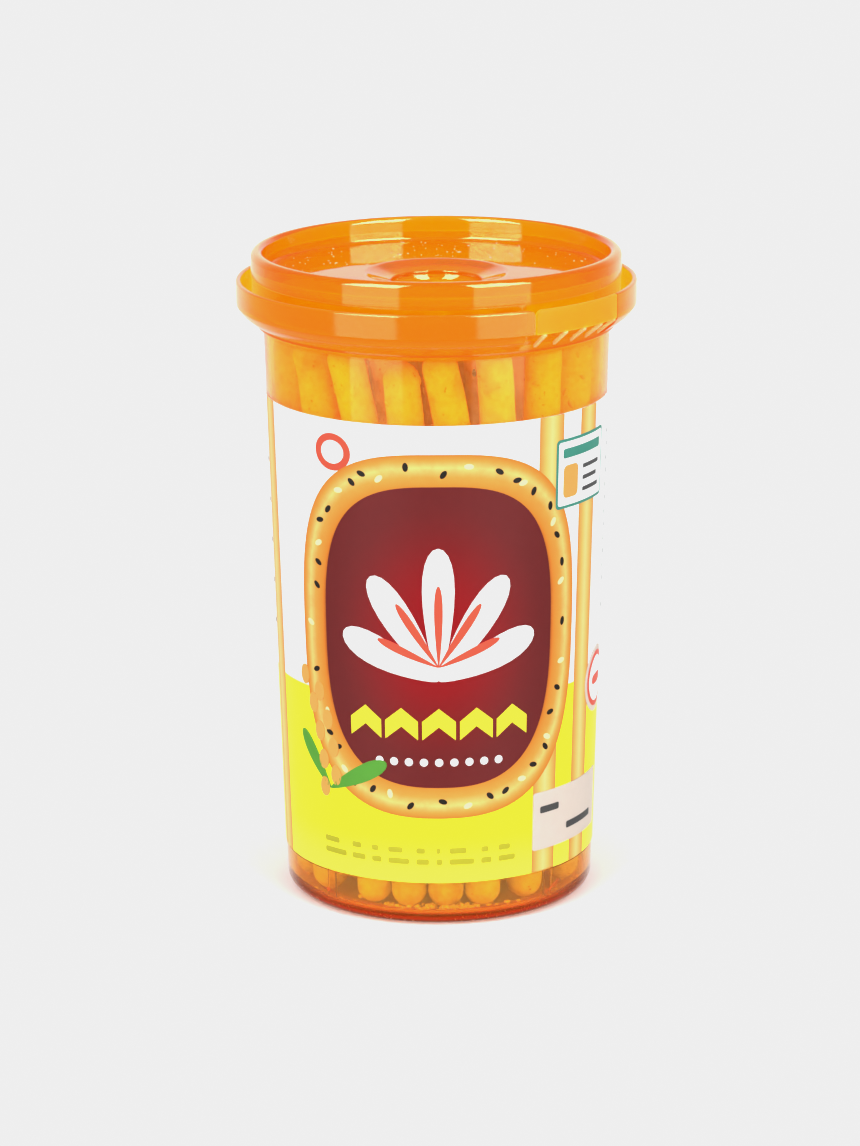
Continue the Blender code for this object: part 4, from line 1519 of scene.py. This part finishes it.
class SNACK_OT_tub(Operator):
    """Model the see-through tub with its ring, tear tab, bridges and inner ribs."""

    bl_idname = "snack.tub"
    bl_label = "Tub"

    def execute(self, context):
        settings = context.scene.snack_tub
        tub = tidy_mesh(turned_piece("clear_tub", tub_outline(), settings.turn_steps))
        combine(tub, rib_blocks(), "UNION")
        combine(tub, [window_cutter()], "DIFFERENCE")
        slits = [
            slit_cutter(settings.tab_start, SLIT_WIDTH, TAB_CORNER),
            slit_cutter(settings.tab_end, END_SLIT_WIDTH, 0.0),
        ]
        combine(tub, slits, "DIFFERENCE")
        true_to_faces(tidy_mesh(tub, crease=30.0))
        dress(tub, tub_plastic(), "tub")
        bars = tidy_mesh(join_pieces("tab_bridges", bridge_bars()))
        dress(bars, bridge_plastic())
        return {"FINISHED"}


class SNACK_OT_lid(Operator):
    """Model the snap lid with its well, gate dimple and bead, and the dust that lies on it."""

    bl_idname = "snack.lid"
    bl_label = "Lid"

    def execute(self, context):
        lid = turned_piece("snap_lid", lid_outline(), context.scene.snack_tub.turn_steps)
        true_to_faces(tidy_mesh(lid, crease=30.0))
        dress(lid, lid_plastic(), "lid")
        self.add_dust(context.scene.snack_lid.panel_height)
        return {"FINISHED"}

    def add_dust(self, panel):
        """Pale specks and short fibres of dust on the panel."""
        chance = random.Random(RANDOM_SEED + 4)
        places = []
        for _ in range(DUST_COUNT):
            away = math.sqrt(chance.uniform(0.2, 0.9)) * LID_MOUTH_RADIUS
            size = chance.uniform(*DUST_SIZES) * MM
            length = size * chance.choice(DUST_LENGTHS)
            turn = Matrix.Rotation(chance.uniform(0.0, 6.28), 4, "Z")
            shape = Matrix.Diagonal((size, length, size * 0.6, 1.0))
            place = around(chance.gauss(DUST_ANGLE, DUST_SPREAD), away, panel + size * 0.2)
            places.append(Matrix.Translation(place) @ turn @ shape)
        dust = scattered("lid_dust", crumb_model(chance), places)
        material, tree, output = new_material("dust")
        principled(tree, output, {"Base Color": DUST, "Roughness": 0.9})
        dress(dust, material)


class SNACK_OT_label(Operator):
    """Wrap the two-colour film round the tub, with its glued overlap at the back."""

    bl_idname = "snack.label"
    bl_label = "Label film"

    def execute(self, context):
        outline = []
        for lift in (LABEL_PROUD, LABEL_PROUD - LABEL_THICKNESS):
            heights = (LABEL_TOP, LABEL_FOOT) if lift > 0.0 else (LABEL_FOOT, LABEL_TOP)
            outline += [(wall_radius(height) + lift, height) for height in heights]
        outline.append(outline[0])
        film = tidy_mesh(turned_piece("label_film", outline, LABEL_STEPS))
        material = film_material()
        dress(film, material, "label")
        left, right = map(round_the_tub, OVERLAP_ANGLES)
        seam = rounded_box(left, LABEL_FOOT, right, LABEL_TOP, OVERLAP_CORNER)
        overlap = flat_slab(seam, -OVERLAP_LIFT, OVERLAP_LIFT)
        overlap.name = "label_overlap"
        dress(wrap_flat(overlap), material)
        return {"FINISHED"}


class SNACK_OT_print(Operator):
    """Print the label: panel with its border, fan of petals, chevrons, sprig, stripes, boxes and bars."""

    bl_idname = "snack.label_print"
    bl_label = "Label print"

    def print_panel(self, inks, turn):
        """The oval panel with what is in it, at an angle round the tub."""
        x = round_the_tub(turn)
        centre = (x, PANEL_CENTRE)
        size = (PANEL_HALF_WIDTH, PANEL_HALF_HEIGHT)
        inks["border"].lay(oval(centre, *size, PANEL_POWER, PANEL_POINTS), 2)
        inner = [half - BORDER for half in size]
        inks["panel"].lay(oval(centre, *inner, PANEL_POWER, PANEL_POINTS), 3)
        middle = [half - BORDER / 2.0 for half in size]
        self.print_seeds(inks, oval(centre, *middle, PANEL_POWER, PRINTED_SEED_COUNT))
        for lean, length in PETALS:
            inks["white"].lay(petal((x, PETAL_FOOT), length, PETAL_WIDTH, lean), 4)
            inks["coral"].lay(petal((x, HEART_FOOT), length * HEART_SHARE, HEART_WIDTH, lean), 5)
        for column in range(-2, 3):
            inks["yellow"].lay(chevron((x + column * CHEVRON_SPACING, CHEVRON_HEIGHT), *CHEVRON_SIZE), 4)
        for column in range(-4, 5):
            dot = (x + column * DOT_SPACING, DOT_HEIGHT)
            inks["white"].lay(oval(dot, DOT_RADIUS, DOT_RADIUS, 2.0, 16), 4)
        self.print_sprig(inks, x + SPRIG_PLACE[0], SPRIG_PLACE[1])

    def print_seeds(self, inks, marks):
        """Seeds strewn along the border, each near its mark, pale ones over dark ones."""
        chance = random.Random(RANDOM_SEED + 5)
        spread = PRINTED_SEED_SPREAD
        grain = oval((0.0, 0.0), *PRINTED_SEED, 2.0, 14)
        for index, mark in enumerate(marks):
            ink, layer = ("cream", 4) if index % 3 == 1 else ("brown", 3)
            place = (mark[0] + chance.uniform(-spread, spread), mark[1] + chance.uniform(-spread, spread))
            inks[ink].lay(turned_outline(grain, place, chance.uniform(0.0, 180.0)), layer)

    def print_sprig(self, inks, x, y):
        """Green leaves and round golden beads on a curved stem, over the panel's corner."""
        for length, width, lean in LEAVES:
            inks["green"].lay(petal((x, y), length, width, lean), 6)
        for index in range(BEAD_COUNT):
            lean = math.radians(3.0 - 2.0 * index)
            along = BEAD_SPACING * index
            side = BEAD_SIDE if index % 2 else -BEAD_SIDE
            bead = (x + along * math.sin(lean) + side, y + along * math.cos(lean))
            inks["straw"].lay(oval(bead, *BEAD_SIZE, 2.0, 20), 6)

    def print_stripes(self, inks):
        """Golden stripes from the film's top to its foot."""
        for middle in STRIPES:
            left = round_the_tub(middle - STRIPE_HALF)
            right = round_the_tub(middle + STRIPE_HALF)
            inks["stripes"].lay(rounded_box(left, LABEL_FOOT, right, LABEL_TOP, STRIPE_CORNER), 1)

    def print_boxes(self, inks, place, boxes):
        """Boxes and bars at a place on the label."""
        angle, height = place
        x = round_the_tub(angle)
        for ink, left, foot, right, top, corner, layer in boxes:
            sides = (x + left * MM, (height + foot) * MM, x + right * MM, (height + top) * MM)
            inks[ink].lay(rounded_box(*sides, corner * MM), layer)

    def print_rounds(self, inks, place, rounds):
        """Rounds about one place on the label, one over the other."""
        centre = (round_the_tub(place[0]), place[1] * MM)
        for ink, half_width, half_height, power, points, layer in rounds:
            inks[ink].lay(oval(centre, half_width * MM, half_height * MM, power, points), layer)

    def print_line(self, inks):
        """Two rows of plain olive bars along the foot of the film."""
        x = round_the_tub(LINE_START)
        for length in LINE_LENGTHS:
            for foot, share in LINE_ROWS:
                right = x + length * MM * share
                inks["olive"].lay(rounded_box(x, foot, right, foot + LINE_BAR, LINE_CORNER), 1)
            x += length * MM * LINE_ROWS[0][1] + LINE_GAP

    def execute(self, context):
        inks = {
            "stripes": Ink("print_stripes", stripe_ink()),
            "border": Ink("print_border", border_ink()),
            "panel": Ink("print_panel", panel_ink()),
        }
        for name, paint in INK_COLOURS.items():
            inks[name] = Ink("print_" + name, plain_ink("ink_" + name, paint))
        self.print_stripes(inks)
        for turn in (0.0, 180.0):
            self.print_panel(inks, turn)
        self.print_boxes(inks, UPPER_BOX_PLACE, UPPER_BOX)
        self.print_boxes(inks, LOWER_BOX_PLACE, LOWER_BOX)
        for place in SIDE_BAR_PLACES:
            self.print_boxes(inks, place, SIDE_BARS)
        self.print_rounds(inks, OPEN_RING_PLACE, OPEN_RING)
        self.print_rounds(inks, DISC_PLACE, DISC)
        self.print_line(inks)
        for ink in inks.values():
            ink.wrap()
        return {"FINISHED"}


class SNACK_OT_sticks(Operator):
    """Bake the sticks: one straight stick, copied, bent along its line and made uneven."""

    bl_idname = "snack.sticks"
    bl_label = "Sticks"

    def lumps(self, name, size):
        """Texture that pushes the dough in and out, with lumps of a size."""
        texture = bpy.data.textures.new(name, "CLOUDS")
        texture.noise_scale = size
        return texture

    def execute(self, context):
        unevenness = context.scene.snack_sticks.unevenness
        chance = random.Random(RANDOM_SEED + 1)
        length = TIP_RANGE[1] - STICK_FOOT
        model = straight_stick(length)
        relief = (
            (self.lumps("lumps", LUMP_SIZE), unevenness),
            (self.lumps("ripples", RIPPLE_SIZE), unevenness * RIPPLE_SHARE),
        )
        sticks = []
        for stick in stick_layout():
            piece = bpy.data.objects.new("stick", model.data.copy())
            bpy.context.scene.collection.objects.link(piece)
            stretch = (stick.tip - STICK_FOOT) / length
            piece.data.transform(Matrix.Scale(stretch, 4, Vector((0.0, 0.0, 1.0))))
            tone_and_shade = piece.data.attributes.new("tone_and_shade", "FLOAT", "POINT")
            shade = chance.choice(TONES)
            # Inner sticks are painted darker, as shade in the gaps between the outer sticks
            if stick.share < 1.0:
                shade += INNER_PAINTED_SHADE
            tone_and_shade.data.foreach_set("value", [shade] * len(piece.data.vertices))
            guide = guide_curve(stick, chance)
            use_modifier(piece, "CURVE", object=guide, deform_axis="POS_Z")
            bpy.data.objects.remove(guide)
            for texture, strength in relief:
                use_modifier(
                    piece, "DISPLACE", texture=texture, strength=strength, mid_level=0.5,
                    texture_coords="GLOBAL",
                )
            sticks.append(piece)
        bpy.data.objects.remove(model)
        bundle = join_pieces("baked_sticks", sticks)
        finish = context.scene.snack_finish
        material = biscuit_material("baked_biscuit", finish.biscuit, finish.crust, browned_and_shaded=True)
        dress(bundle, material, "sticks")
        return {"FINISHED"}


class SNACK_OT_seeds(Operator):
    """Press white and black sesame seeds into the sticks."""

    bl_idname = "snack.seeds"
    bl_label = "Seeds"

    def seed_places(self, chance):
        """Where seeds lie: on each stick's side, half sunk, with any turn."""
        settings = bpy.context.scene.snack_sticks
        places = []
        for stick in stick_layout():
            outer = stick.share == 1.0
            lowest = SEED_REACH[0] if outer else INNER_SEED_FOOT
            for _ in range(settings.seeds_per_stick if outer else INNER_SEED_COUNT):
                height = up_stick(stick, chance.uniform(lowest, SEED_REACH[1]))
                out = around(chance.uniform(0.0, 360.0), 1.0, 0.0)
                centre = stick_centre(stick, height) + out * (settings.radius - SEED_SINK)
                facing = out.to_track_quat("Z", "Y").to_matrix().to_4x4()
                turn = Matrix.Rotation(chance.uniform(0.0, 2.0 * math.pi), 4, "Z")
                size = Matrix.Scale(chance.uniform(*SEED_SCALES), 4)
                places.append(Matrix.Translation(centre) @ facing @ turn @ size)
        return places

    def execute(self, context):
        places = self.seed_places(random.Random(RANDOM_SEED + 2))
        black_places = places[3::BLACK_SEED_EVERY]
        white_places = [place for index, place in enumerate(places) if index % BLACK_SEED_EVERY != 3]
        white = scattered("white_seeds", seed_model(), white_places)
        black = scattered("black_seeds", seed_model(), black_places)
        dress(white, biscuit_material("white_sesame", *WHITE_SEED))
        dress(black, biscuit_material("black_sesame", *BLACK_SEED))
        return {"FINISHED"}


class SNACK_OT_crumbs(Operator):
    """Scatter crumbs on the tub's floor."""

    bl_idname = "snack.crumbs"
    bl_label = "Crumbs"

    def execute(self, context):
        chance = random.Random(RANDOM_SEED + 3)
        tub = context.scene.snack_tub
        floor = tub.base_recess + tub.base_thickness
        edge = wall_radius(floor) - tub.wall - INNER_HEEL_RADIUS
        places = []
        for index in range(context.scene.snack_sticks.crumb_count):
            heaped = index % 4 != 0
            angle = chance.gauss(HEAP_ANGLE, HEAP_SPREAD) if heaped else chance.uniform(-180.0, 180.0)
            size = chance.uniform(*(HEAPED_SIZES if heaped else LOOSE_SIZES)) * MM
            beyond = chance.uniform(*CRUMB_REACH) * MM
            corner = INNER_HEEL_RADIUS - math.sqrt(INNER_HEEL_RADIUS ** 2 - max(0.0, beyond) ** 2)
            lift = size * 0.42 + chance.uniform(0.1, 1.0 if heaped else 0.1) * MM
            place = around(angle, edge + beyond, floor + corner + lift)
            spin = chance.uniform(0.0, 6.28)
            turn = Matrix.Rotation(spin, 4, Vector((chance.random(), 1.0, chance.random())))
            flat = Matrix.Scale(CRUMB_FLATNESS, 4, Vector((0.0, 0.0, 1.0)))
            places.append(Matrix.Translation(place) @ flat @ turn @ Matrix.Scale(size, 4))
        crumbs = scattered("crumbs", crumb_model(chance), places)
        dress(crumbs, biscuit_material("crumb", *CRUMB))
        return {"FINISHED"}


class SNACK_PT_panel(Panel):
    """Sizes, colours and steps of the snack tub."""

    bl_label = "Sesame Stick Tub"
    bl_idname = "SNACK_PT_panel"
    bl_space_type = "VIEW_3D"
    bl_region_type = "UI"
    bl_category = "Snack Tub"

    def draw(self, context):
        layout = self.layout
        for _, pointer in SETTINGS:
            settings = getattr(context.scene, pointer)
            column = layout.column(align=True)
            for name in settings.__class__.__annotations__:
                column.prop(settings, name)
        for operator in STEPS:
            layout.operator(operator.bl_idname)


SETTINGS = (
    (TubSettings, "snack_tub"),
    (LidSettings, "snack_lid"),
    (StickSettings, "snack_sticks"),
    (FinishSettings, "snack_finish"),
    (StageSettings, "snack_stage"),
)
STEPS = (
    SNACK_OT_stage,
    SNACK_OT_tub,
    SNACK_OT_lid,
    SNACK_OT_label,
    SNACK_OT_print,
    SNACK_OT_sticks,
    SNACK_OT_seeds,
    SNACK_OT_crumbs,
)


def register():
    """Add the settings, the steps and the panel to Blender."""
    for settings, pointer in SETTINGS:
        bpy.utils.register_class(settings)
        setattr(bpy.types.Scene, pointer, PointerProperty(type=settings))
    for step in STEPS:
        bpy.utils.register_class(step)
    bpy.utils.register_class(SNACK_PT_panel)


def unregister():
    """Take them away again, in the opposite order."""
    bpy.utils.unregister_class(SNACK_PT_panel)
    for step in reversed(STEPS):
        bpy.utils.unregister_class(step)
    for settings, pointer in reversed(SETTINGS):
        delattr(bpy.types.Scene, pointer)
        bpy.utils.unregister_class(settings)


def main():
    """Build everything in order."""
    register()
    make_groups()
    bpy.ops.snack.stage()
    bpy.ops.snack.tub()
    bpy.ops.snack.lid()
    bpy.ops.snack.label()
    bpy.ops.snack.label_print()
    bpy.ops.snack.sticks()
    bpy.ops.snack.seeds()
    bpy.ops.snack.crumbs()


if __name__ == "__main__":
    main()
